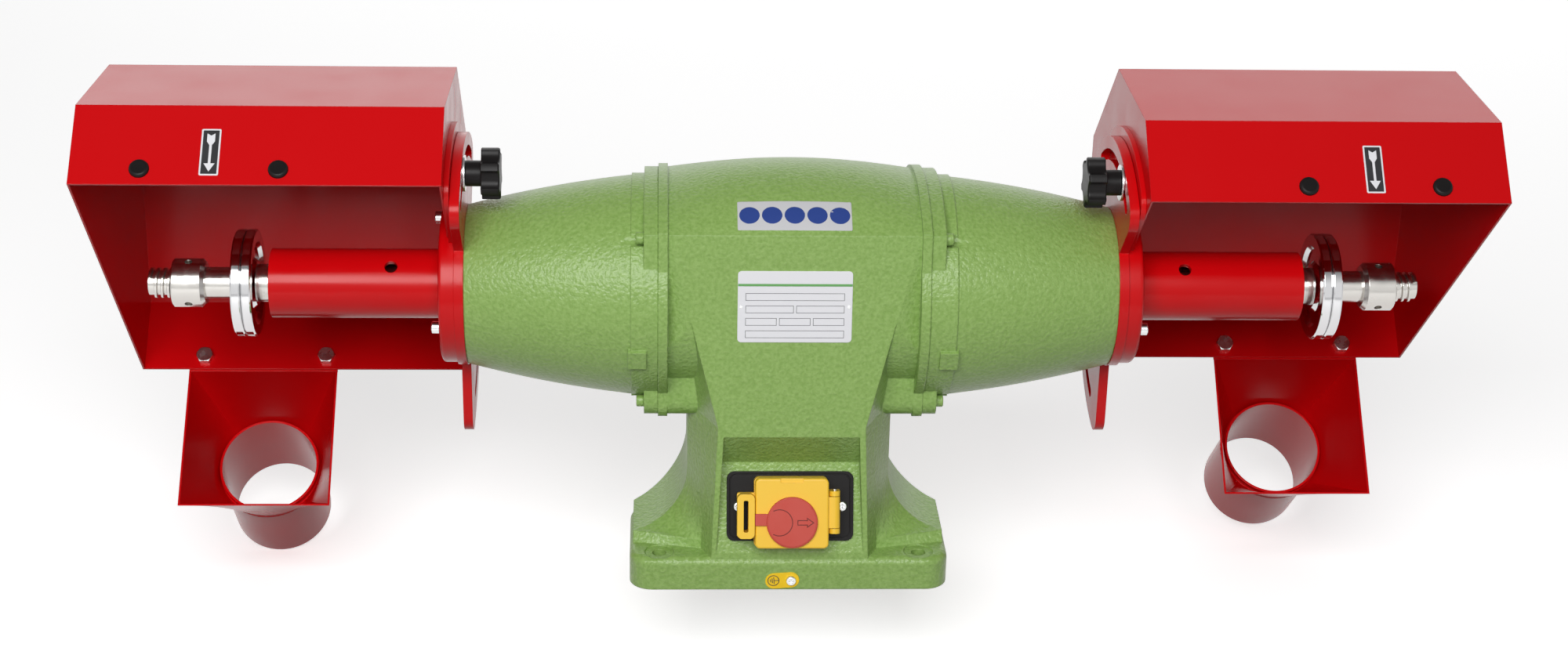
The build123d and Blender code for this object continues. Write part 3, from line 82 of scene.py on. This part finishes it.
def on_hood(side, x, y, z):
    """Point on a hood at rest: x outwards from the middle, y and z from the spindle axis on a level hood."""
    return hood_turn[side] @ Vector((0, y, z)) + Vector((side_sign[side] * x, 0, axis_height))


# Materials: small helpers
pattern_low = 0.3
pattern_high = 0.7
wave_rate = 20
line_waver = 1.5
line_detail = 2.0
edge_radius = 0.8 * mm
edge_samples = 6


def new_material(name, colour, roughness, metallic=0.0):
    material = bpy.data.materials.new(name)
    material.use_nodes = True
    tree = material.node_tree
    shader = tree.nodes["Principled BSDF"]
    shader.inputs["Base Color"].default_value = (*colour, 1.0)
    shader.inputs["Roughness"].default_value = roughness
    shader.inputs["Metallic"].default_value = metallic
    return material, tree, shader


def object_place(tree, offset=(0, 0, 0)):
    """Place on the piece in metres, with the origin moved by offset."""
    place = tree.nodes.new("ShaderNodeTexCoord").outputs["Object"]
    if not any(offset):
        return place
    mapping = tree.nodes.new("ShaderNodeMapping")
    mapping.inputs["Location"].default_value = offset
    tree.links.new(place, mapping.inputs["Vector"])
    return mapping.outputs["Vector"]


def noise(tree, place, grain, detail=2.0):
    """Cloudy pattern whose features are about grain across."""
    texture = tree.nodes.new("ShaderNodeTexNoise")
    texture.inputs["Scale"].default_value = 1 / grain
    texture.inputs["Detail"].default_value = detail
    tree.links.new(place, texture.inputs["Vector"])
    return texture.outputs["Fac"]


def turned_lines(tree, place, pitch, kind):
    """Lathe marks: RINGS about the spindle on a face, BANDS along the spindle on a turned side."""
    texture = tree.nodes.new("ShaderNodeTexWave")
    texture.wave_type = kind
    texture.rings_direction = "X"
    texture.bands_direction = "X"
    texture.inputs["Scale"].default_value = 1 / (pitch * wave_rate)
    texture.inputs["Distortion"].default_value = line_waver
    texture.inputs["Detail"].default_value = line_detail
    tree.links.new(place, texture.inputs["Vector"])
    return texture.outputs["Fac"]


def spread(tree, factor, low, high, socket):
    """Drives a socket from low to high with a 0 to 1 pattern."""
    scale = tree.nodes.new("ShaderNodeMapRange")
    scale.inputs["From Min"].default_value = pattern_low
    scale.inputs["From Max"].default_value = pattern_high
    scale.inputs["To Min"].default_value = low
    scale.inputs["To Max"].default_value = high
    tree.links.new(factor, scale.inputs["Value"])
    tree.links.new(scale.outputs["Result"], socket)


def colour_between(tree, factor, low, high, shader):
    """Base colour that goes from low to high with a pattern."""
    ramp = tree.nodes.new("ShaderNodeValToRGB")
    ramp.color_ramp.elements[0].position = pattern_low
    ramp.color_ramp.elements[0].color = (*low, 1.0)
    ramp.color_ramp.elements[1].position = pattern_high
    ramp.color_ramp.elements[1].color = (*high, 1.0)
    tree.links.new(factor, ramp.inputs["Fac"])
    tree.links.new(ramp.outputs["Color"], shader.inputs["Base Color"])


def relief(tree, shader, height, depth, strength, radius=edge_radius):
    """Fine relief over edges that read as rounded."""
    bevel = tree.nodes.new("ShaderNodeBevel")
    bevel.samples = edge_samples
    bevel.inputs["Radius"].default_value = radius
    bump = tree.nodes.new("ShaderNodeBump")
    bump.inputs["Distance"].default_value = depth
    bump.inputs["Strength"].default_value = strength
    tree.links.new(height, bump.inputs["Height"])
    tree.links.new(bevel.outputs["Normal"], bump.inputs["Normal"])
    tree.links.new(bump.outputs["Normal"], shader.inputs["Normal"])


# Materials: the machine


def hammer_paint():
    """Green paint with a close hammered grain."""
    material, tree, shader = new_material("green_hammer_paint", (0.25, 0.40, 0.105), 0.34)
    shader.inputs["Specular IOR Level"].default_value = 0.4
    hammered = noise(tree, object_place(tree), grain=2.8 * mm, detail=1.5)
    colour_between(tree, hammered, (0.215, 0.36, 0.082), (0.285, 0.445, 0.126), shader)
    relief(tree, shader, hammered, depth=1.0 * mm, strength=0.75, radius=1.4 * mm)
    return material


def powder_coat():
    """Smooth red coat with a slight orange peel."""
    material, tree, shader = new_material("red_powder_coat", (0.60, 0.002, 0.004), 0.22)
    shader.inputs["Specular IOR Level"].default_value = 0.2
    place = object_place(tree)
    clouds = noise(tree, place, grain=45 * mm)
    spread(tree, clouds, 0.17, 0.26, shader.inputs["Roughness"])
    peel = noise(tree, place, grain=2.4 * mm, detail=1.0)
    relief(tree, shader, peel, depth=0.3 * mm, strength=0.05)
    return material


def metal(name, colour, roughness, pitch=None, kind="BANDS", strength=0.06):
    """Bare or plated metal, turned where a pitch is given."""
    material, tree, shader = new_material(name, colour, roughness, metallic=1.0)
    place = object_place(tree, (0, 0, -axis_height))
    clouds = noise(tree, place, grain=9 * mm)
    spread(tree, clouds, roughness * 0.8, roughness * 1.25, shader.inputs["Roughness"])
    if pitch:
        marks = turned_lines(tree, place, pitch, kind)
    else:
        marks = noise(tree, place, grain=1.2 * mm)
    relief(tree, shader, marks, depth=0.1 * mm, strength=strength, radius=0.5 * mm)
    return material


def plastic(name, colour, roughness, strength=0.05, specular=0.5):
    """Moulded plastic or print."""
    material, tree, shader = new_material(name, colour, roughness)
    shader.inputs["Specular IOR Level"].default_value = specular
    place = object_place(tree)
    clouds = noise(tree, place, grain=14 * mm)
    spread(tree, clouds, roughness * 0.9, roughness * 1.15, shader.inputs["Roughness"])
    moulding = noise(tree, place, grain=0.5 * mm)
    relief(tree, shader, moulding, depth=0.1 * mm, strength=strength, radius=0.6 * mm)
    return material


materials = {
    "green_hammer_paint": hammer_paint(),
    "red_powder_coat": powder_coat(),
    "chromed_flange": metal("chromed_flange", (0.66, 0.66, 0.67), 0.1, 0.5 * mm, "RINGS"),
    "bright_steel": metal("bright_steel", (0.60, 0.58, 0.55), 0.22, 0.35 * mm),
    "zinc_fasteners": metal("zinc_fasteners", (0.70, 0.71, 0.71), 0.26),
    "plain_steel": metal("plain_steel", (0.36, 0.36, 0.36), 0.42),
    "laminations": metal("laminations", (0.26, 0.26, 0.27), 0.5, 0.5 * mm, "BANDS", 0.3),
    "copper_winding": metal("copper_winding", (0.52, 0.21, 0.08), 0.35, 1.0 * mm, "RINGS", 0.5),
    "cast_aluminium": metal("cast_aluminium", (0.66, 0.66, 0.67), 0.45),
    "black_plastic": plastic("black_plastic", (0.009, 0.008, 0.008), 0.36, specular=0.15),
    "yellow_plastic": plastic("yellow_plastic", (0.90, 0.55, 0.03), 0.36),
    "red_plastic": plastic("red_plastic", (0.52, 0.05, 0.03), 0.5),
    # Dark red painted shade, standing in for the shade inside engraved grooves on the stop pad
    "painted_groove_shade": plastic("painted_groove_shade", (0.15, 0.012, 0.008), 0.6),
    "green_plastic": plastic("green_plastic", (0.03, 0.32, 0.07), 0.4),
    "earth_tag": plastic("earth_tag", (0.93, 0.60, 0.01), 0.4),
    "lead_sleeve": plastic("lead_sleeve", (0.10, 0.10, 0.11), 0.55),
    "label_white": plastic("label_white", (0.80, 0.80, 0.83), 0.35, strength=0.02),
    "label_grey": plastic("label_grey", (0.58, 0.58, 0.60), 0.35, strength=0.02),
    "label_blue": plastic("label_blue", (0.022, 0.055, 0.26), 0.35, strength=0.02),
    "label_ink": plastic("label_ink", (0.025, 0.025, 0.028), 0.4, strength=0.02),
    "label_green": plastic("label_green", (0.13, 0.36, 0.11), 0.4, strength=0.02),
}

# Each solid takes the finish that the record names for it
for part in frame["record"]["subparts"]:
    solid = frame["nodes"][part["node"]]
    solid.data.materials.clear()
    solid.data.materials.append(materials[part["material_slot"]])

# Thin pieces: flat outlines laid on a solid
lay_reach = 15 * mm
lay_sink = 0.05 * mm
same_point = 0.001 * mm
most_cuts = 6


def rectangle(width, height, x=0.0, y=0.0):
    half_width = width / 2
    half_height = height / 2
    return [
        (x - half_width, y - half_height),
        (x + half_width, y - half_height),
        (x + half_width, y + half_height),
        (x - half_width, y + half_height),
    ]


def rounded_rectangle(width, height, corner, steps=6):
    points = []
    for index, (sx, sy) in enumerate(((1, 1), (-1, 1), (-1, -1), (1, -1))):
        for step in range(steps + 1):
            angle = (index + step / steps) * pi / 2
            x = sx * (width / 2 - corner) + corner * cos(angle)
            y = sy * (height / 2 - corner) + corner * sin(angle)
            points.append((x, y))
    return points


def disc(radius, x=0.0, y=0.0, steps=40):
    turns = [2 * pi * step / steps for step in range(steps)]
    return [(x + radius * cos(turn), y + radius * sin(turn)) for turn in turns]


def outline_band(inner, outer):
    """The strip between two outlines with the same number of points, as four-sided pieces."""
    count = len(inner)
    return [
        [inner[i], outer[i], outer[(i + 1) % count], inner[(i + 1) % count]]
        for i in range(count)
    ]


def box_lines(width, height, x, y, line):
    """The four sides of a box, drawn line wide."""
    inner = rectangle(width - 2 * line, height - 2 * line, x, y)
    return outline_band(inner, rectangle(width, height, x, y))


def spot(origin, right, up):
    """Frame on a face: local x to the right, local y up the face, local z out of it."""
    right = Vector(right).normalized()
    up = Vector(up).normalized()
    out = right.cross(up)
    turn = Matrix((right, up, out)).transposed().to_4x4()
    return Matrix.Translation(origin) @ turn


def faces_of(node):
    """Search tree of a solid's faces."""
    mesh = frame["nodes"][node].data
    corners = [vertex.co for vertex in mesh.vertices]
    faces = [list(face.vertices) for face in mesh.polygons]
    return BVHTree.FromPolygons(corners, faces)


def cut_long_edges(sheet, grain):
    """Splits the edges that are longer than grain, so that the sheet can follow a round face."""
    bmesh.ops.triangulate(sheet, faces=sheet.faces[:])
    for _ in range(most_cuts):
        long_edges = [edge for edge in sheet.edges if edge.calc_length() > grain]
        if not long_edges:
            break
        bmesh.ops.subdivide_edges(sheet, edges=long_edges, cuts=1)
        bmesh.ops.triangulate(sheet, faces=sheet.faces[:])


def lay_on(name, outlines, place, seat, body, material, lift, grain=None):
    """Thin piece that stands lift above the seat's face, or above the place's own plane without a seat."""
    target = faces_of(seat) if seat else None
    out = (place.to_3x3() @ Vector((0, 0, 1))).normalized()
    sheet = bmesh.new()
    for outline in outlines:
        sheet.faces.new([sheet.verts.new((x, y, 0)) for x, y in outline])
    bmesh.ops.remove_doubles(sheet, verts=sheet.verts[:], dist=same_point)
    if grain:
        cut_long_edges(sheet, grain)
    for vertex in sheet.verts:
        level = place @ Vector((vertex.co.x, vertex.co.y, 0))
        hit = target.ray_cast(level + out * lay_reach, -out, 2 * lay_reach)[0] if target else level
        vertex.co = hit + out * lift
    bmesh.ops.recalc_face_normals(sheet, faces=sheet.faces[:])
    if sum(face.normal.dot(out) for face in sheet.faces) < 0:
        bmesh.ops.reverse_faces(sheet, faces=sheet.faces[:])
    mesh = bpy.data.meshes.new(name)
    sheet.to_mesh(mesh)
    sheet.free()
    mesh.materials.append(materials[material])
    piece = add_object(name, mesh)
    thickness = piece.modifiers.new("thickness", "SOLIDIFY")
    thickness.thickness = lift + lay_sink
    thickness.offset = -1
    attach(piece, body)
    return piece


def lay_on_casting(name, outlines, place, material, lift, grain=None):
    return lay_on(name, outlines, place, "motor_body", "machine", material, lift, grain)


# Label strip on the crown: plain discs in a row
strip_width = 87.5 * mm
strip_height = 27 * mm
strip_corner = 1 * mm
strip_lean = radians(35.1)
strip_middle = Vector((-0.4, -61.0, 302.5)) * mm
strip_paper = 0.15 * mm
strip_print = 0.2 * mm
strip_grain = 6 * mm
disc_count = 5
disc_radius = 7.8 * mm
disc_pitch = 17.3 * mm
middle_disc = (disc_count - 1) / 2

strip_place = spot(strip_middle, rightward, (0, cos(strip_lean), sin(strip_lean)))
strip_outline = rounded_rectangle(strip_width, strip_height, strip_corner)
disc_outlines = [disc(disc_radius, (index - middle_disc) * disc_pitch) for index in range(disc_count)]
lay_on_casting("label_strip", [strip_outline], strip_place, "label_grey", strip_paper, strip_grain)
lay_on_casting("label_discs", disc_outlines, strip_place, "label_blue", strip_print, strip_grain)

# Blank rating plate on the front face: a band, rows of empty boxes and two rivets
plate_width = 88 * mm
plate_height = 57.3 * mm
plate_corner = 3 * mm
plate_middle = Vector((0.4, -79.8, 234.7)) * mm
plate_up = Vector((0, 22, 260))
plate_sheet = 0.5 * mm
plate_print = 0.54 * mm
band_width = 87.6 * mm
band_height = 2 * mm
band_y = 17.5 * mm
boxes_in_row = (1, 2, 3, 1)
row_width = 76 * mm
row_top = 8 * mm
row_pitch = 10 * mm
box_height = 6 * mm
box_gap = 2 * mm
box_rule = 0.35 * mm
rivet_radius = 1.3 * mm
rivet_x = 41.5 * mm
rivet_rise = 0.9 * mm

plate_place = spot(plate_middle, rightward, plate_up)
plate_outline = rounded_rectangle(plate_width, plate_height, plate_corner)
band_outline = rectangle(band_width, band_height, 0, band_y)
plate_lines = []
for row, count in enumerate(boxes_in_row):
    box_width = (row_width - (count - 1) * box_gap) / count
    box_y = row_top - row * row_pitch
    for index in range(count):
        box_x = (index - (count - 1) / 2) * (box_width + box_gap)
        plate_lines += box_lines(box_width, box_height, box_x, box_y, box_rule)
rivet_outlines = [disc(rivet_radius, -rivet_x), disc(rivet_radius, rivet_x)]
lay_on_casting("rating_plate", [plate_outline], plate_place, "label_white", plate_sheet)
lay_on_casting("rating_band", [band_outline], plate_place, "label_green", plate_print)
lay_on_casting("rating_lines", plate_lines, plate_place, "label_ink", plate_print)
rivets = lay_on_casting("rating_rivets", rivet_outlines, plate_place, "zinc_fasteners", rivet_rise)

# Arrow labels on the hood fronts
arrow_width = 14.5 * mm
arrow_height = 39.5 * mm
arrow_margin = 1.3 * mm
border_corner = 1.2 * mm
field_corner = 0.4 * mm
border_rise = 0.15 * mm
field_rise = 0.19 * mm
arrow_rise = 0.23 * mm
arrow_middle_y = -74 * mm
arrow_middle_z = 128 * mm
front_run = Vector((0, 47.5, 48)).normalized()
arrow_points = [
    (0, -16.5), (4.2, -9.5), (1.0, -9.5), (1.0, 6.0), (3.0, 9.0), (3.0, 16.0), (0, 14.0),
    (-3.0, 16.0), (-3.0, 9.0), (-1.0, 6.0), (-1.0, -9.5), (-4.2, -9.5),
]

border = rounded_rectangle(arrow_width, arrow_height, border_corner)
field = rounded_rectangle(arrow_width - 2 * arrow_margin, arrow_height - 2 * arrow_margin, field_corner)
for side, turn in hood_turn.items():
    hood = "hood_" + side
    arrow_middle = on_hood(side, hood_middle_x, arrow_middle_y, arrow_middle_z)
    arrow_place = spot(arrow_middle, rightward, turn @ front_run)
    lay_on("arrow_border_" + side, [border], arrow_place, hood, hood, "label_white", border_rise)
    lay_on("arrow_field_" + side, [field], arrow_place, hood, hood, "label_ink", field_rise)
    lay_on("arrow_" + side, [in_mm(arrow_points)], arrow_place, hood, hood, "label_white", arrow_rise)

# Earth mark on the yellow tag: a ring, three bars and a stem
tag_middle = Vector((-5.6, -100.5, 8.7)) * mm
earth_offset = 7 * mm
earth_turn = radians(4)
earth_ring = 4.7 * mm
earth_line = 0.6 * mm
earth_rise = 0.1 * mm
earth_bars = in_mm([(-2.2, 2.4), (-0.9, 4.2), (0.4, 6.0)])

earth_right = Vector((cos(earth_turn), 0, sin(earth_turn)))
earth_up = Vector((-sin(earth_turn), 0, cos(earth_turn)))
earth_place = spot(tag_middle - earth_offset * earth_right, earth_right, earth_up)
stem_start = earth_bars[-1][0] + earth_line / 2
stem_length = earth_ring - earth_line - stem_start
earth_outlines = outline_band(disc(earth_ring - earth_line), disc(earth_ring))
earth_outlines += [rectangle(earth_line, length, x) for x, length in earth_bars]
earth_outlines.append(rectangle(stem_length, earth_line, stem_start + stem_length / 2))
lay_on("earth_mark", earth_outlines, earth_place, "earth_tag", "machine", "label_ink", earth_rise)

# Face of the stop pad: thumb ring and arrow in line with the pad's middle. The ring and arrow are dark red
# lines of painted shade, standing in for the shade inside engraved grooves.
pad_middle = Vector((0.6, -111.97, 65.62)) * mm
pad_lean = atan2(panel_depth, panel_height)
pad_face_radius = 18.9 * mm
pad_face_steps = 96
pad_face_rise = 0.25 * mm
pad_shade_lines_rise = 0.28 * mm
thumb_middle = -10 * mm
thumb_radius = 10.6 * mm
thumb_line = 0.7 * mm
thumb_end = radians(118)
thumb_steps = 40
pad_arrow_outer = [
    (4, 2.1), (11.5, 2.1), (11.5, 4.1), (17.3, 0), (11.5, -4.1), (11.5, -2.1), (4, -2.1),
]
pad_arrow_inner = [
    (4.7, 1.4), (12.2, 1.4), (12.2, 2.75), (16.1, 0), (12.2, -2.75), (12.2, -1.4), (4.7, -1.4),
]


def thumb_point(step, radius):
    angle = thumb_end * (2 * step / thumb_steps - 1)
    return (thumb_middle + radius * cos(angle), radius * sin(angle))


pad_place = spot(pad_middle, rightward, (0, sin(pad_lean), cos(pad_lean)))
pad_outline = disc(pad_face_radius, steps=pad_face_steps)
pad_shade_lines = outline_band(in_mm(pad_arrow_inner), in_mm(pad_arrow_outer))
for step in range(thumb_steps):
    pad_shade_lines.append([
        thumb_point(step, thumb_radius - thumb_line),
        thumb_point(step, thumb_radius),
        thumb_point(step + 1, thumb_radius),
        thumb_point(step + 1, thumb_radius - thumb_line),
    ])
pad_face = lay_on("pad_face", [pad_outline], pad_place, None, "stop_pad", "red_plastic", pad_face_rise)
# Dark red lines of painted shade where the thumb ring and arrow are engraved
lay_on("pad_shade_lines", pad_shade_lines, pad_place, None, "stop_pad", "painted_groove_shade", pad_shade_lines_rise)

# Weld beads: a round bead where each spout leaves its hopper
hopper_foot = Vector((hood_middle_x, 127 * mm, -121 * mm))
spout_shift = 3.5 * mm
spout_drop = 55.9 * mm
hopper_end = 86.6 * mm
spout_run = Vector((0, 1, -1)).normalized()
spout_across = Vector((0, -1, -1)).normalized()
bead_ring = 43.2 * mm
bead_radius = 2.0 * mm
bead_steps = 180
bead_sides = 10
ripple_count = 66
ripple = 0.12


def weld_ring(name, middle, along):
    """Bead with a ripple, round the axis along."""
    upward = along.cross(rightward).normalized()
    points = []
    faces = []
    for step in range(bead_steps):
        turn = 2 * pi * step / bead_steps
        radial = rightward * cos(turn) + upward * sin(turn)
        radius = bead_radius * (1 + ripple * sin(ripple_count * turn))
        for corner in range(bead_sides):
            angle = 2 * pi * corner / bead_sides
            points.append(middle + radial * (bead_ring + radius * cos(angle)) + along * radius * sin(angle))
    for step in range(bead_steps):
        ahead = (step + 1) % bead_steps
        for corner in range(bead_sides):
            beside = (corner + 1) % bead_sides
            faces.append((
                step * bead_sides + corner,
                ahead * bead_sides + corner,
                ahead * bead_sides + beside,
                step * bead_sides + beside,
            ))
    mesh = bpy.data.meshes.new(name)
    mesh.from_pydata(points, [], faces)
    shell = bmesh.new()
    shell.from_mesh(mesh)
    bmesh.ops.recalc_face_normals(shell, faces=shell.faces[:])
    for face in shell.faces:
        face.smooth = True
    shell.to_mesh(mesh)
    shell.free()
    mesh.materials.append(materials["red_powder_coat"])
    return add_object(name, mesh)


weld_middle = hopper_foot + spout_shift * rightward + spout_drop * spout_across + hopper_end * spout_run
for side, turn in hood_turn.items():
    bead = weld_ring("spout_weld_" + side, on_hood(side, *weld_middle), turn @ spout_run)
    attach(bead, "hood_" + side)

# Floor, sky and lamps
white = (1.0, 1.0, 1.0)
floor_size = 14.0
floor_gap = 0.5 * mm
floor_shown = 0.93
floor_roughness = 0.9
floor_bounce = 0.2
floor_glow = 0.5
sky_light = 0.18
zenith_shown = 0.25
sky_fade_start = 0.45
sky_fade_end = 0.8
lamp_aim = Vector((0, 0, 0.2))


def shown_ray(tree):
    """1 for rays that show the background, straight on, reflected or through a gap, and 0 for light."""
    path = tree.nodes.new("ShaderNodeLightPath")
    shown = path.outputs["Is Camera Ray"]
    for kind in ("Is Glossy Ray", "Is Transmission Ray"):
        either = tree.nodes.new("ShaderNodeMath")
        either.operation = "MAXIMUM"
        tree.links.new(shown, either.inputs[0])
        tree.links.new(path.outputs[kind], either.inputs[1])
        shown = either.outputs["Value"]
    return shown


def by_ray(tree, light, background, socket):
    """Sets a socket to one number for light and to another where the background shows."""
    scale = tree.nodes.new("ShaderNodeMapRange")
    scale.inputs["To Min"].default_value = light
    scale.inputs["To Max"].default_value = background
    tree.links.new(shown_ray(tree), scale.inputs["Value"])
    tree.links.new(scale.outputs["Result"], socket)
    return scale


bpy.ops.mesh.primitive_plane_add(size=floor_size, location=(0, 0, solid_low.z - floor_gap))
floor = bpy.context.active_object
floor.name = "floor"
floor_material, floor_tree, floor_shader = new_material("floor_white", white, floor_roughness)
floor_shader.inputs["Specular IOR Level"].default_value = 0.0
floor_shader.inputs["Emission Color"].default_value = (*white, 1.0)
by_ray(floor_tree, floor_bounce, floor_shown, floor_shader.inputs["Base Color"])
by_ray(floor_tree, 0.0, floor_glow, floor_shader.inputs["Emission Strength"])
floor.data.materials.append(floor_material)

world = bpy.data.worlds.new("studio")
bpy.context.scene.world = world
world.use_nodes = True
sky_tree = world.node_tree
sky = sky_tree.nodes["Background"]
sky.inputs["Color"].default_value = (*white, 1.0)
direction = sky_tree.nodes.new("ShaderNodeTexCoord").outputs["Generated"]
parts = sky_tree.nodes.new("ShaderNodeSeparateXYZ")
sky_tree.links.new(direction, parts.inputs["Vector"])
fade = sky_tree.nodes.new("ShaderNodeMapRange")
fade.inputs["From Min"].default_value = sky_fade_start
fade.inputs["From Max"].default_value = sky_fade_end
fade.inputs["To Min"].default_value = 1.0
fade.inputs["To Max"].default_value = zenith_shown
sky_tree.links.new(parts.outputs["Z"], fade.inputs["Value"])
sky_choice = by_ray(sky_tree, sky_light, 1.0, sky.inputs["Strength"])
sky_tree.links.new(fade.outputs["Result"], sky_choice.inputs["To Max"])


def softbox(name, place, width, height, power):
    lamp = bpy.data.lights.new(name, "AREA")
    lamp.shape = "RECTANGLE"
    lamp.size = width
    lamp.size_y = height
    lamp.energy = power
    piece = add_object(name, lamp)
    toward = lamp_aim - Vector(place)
    piece.location = place
    piece.rotation_euler = toward.to_track_quat("-Z", "Y").to_euler()


softbox("key_light", (-0.35, -2.1, 1.65), width=1.7, height=1.1, power=58)
softbox("rear_light", (0.4, 2.2, 1.0), width=4.0, height=2.0, power=14)

# Camera: the measured place of the photograph
camera_place = Vector((-103.1, -1900.2, 985.3)) * mm
camera_elevation = radians(22.84)
camera_azimuth = radians(-3.0)
camera_roll = radians(1.31)
camera_lens = 59.09
camera_sensor = 36

camera_back = Vector((
    sin(camera_azimuth) * cos(camera_elevation),
    -cos(camera_azimuth) * cos(camera_elevation),
    sin(camera_elevation),
))
level_right = (-camera_back).cross(Vector((0, 0, 1))).normalized()
level_up = level_right.cross(-camera_back)
camera_right = cos(camera_roll) * level_right + sin(camera_roll) * level_up
camera_up = cos(camera_roll) * level_up - sin(camera_roll) * level_right
camera_turn = Matrix((camera_right, camera_up, camera_back)).transposed().to_4x4()
camera_data = bpy.data.cameras.new("camera")
camera_data.lens = camera_lens
camera_data.sensor_width = camera_sensor
camera = add_object("camera", camera_data)
camera.matrix_world = Matrix.Translation(camera_place) @ camera_turn
bpy.context.scene.camera = camera
bpy.context.scene.view_settings.view_transform = "Standard"
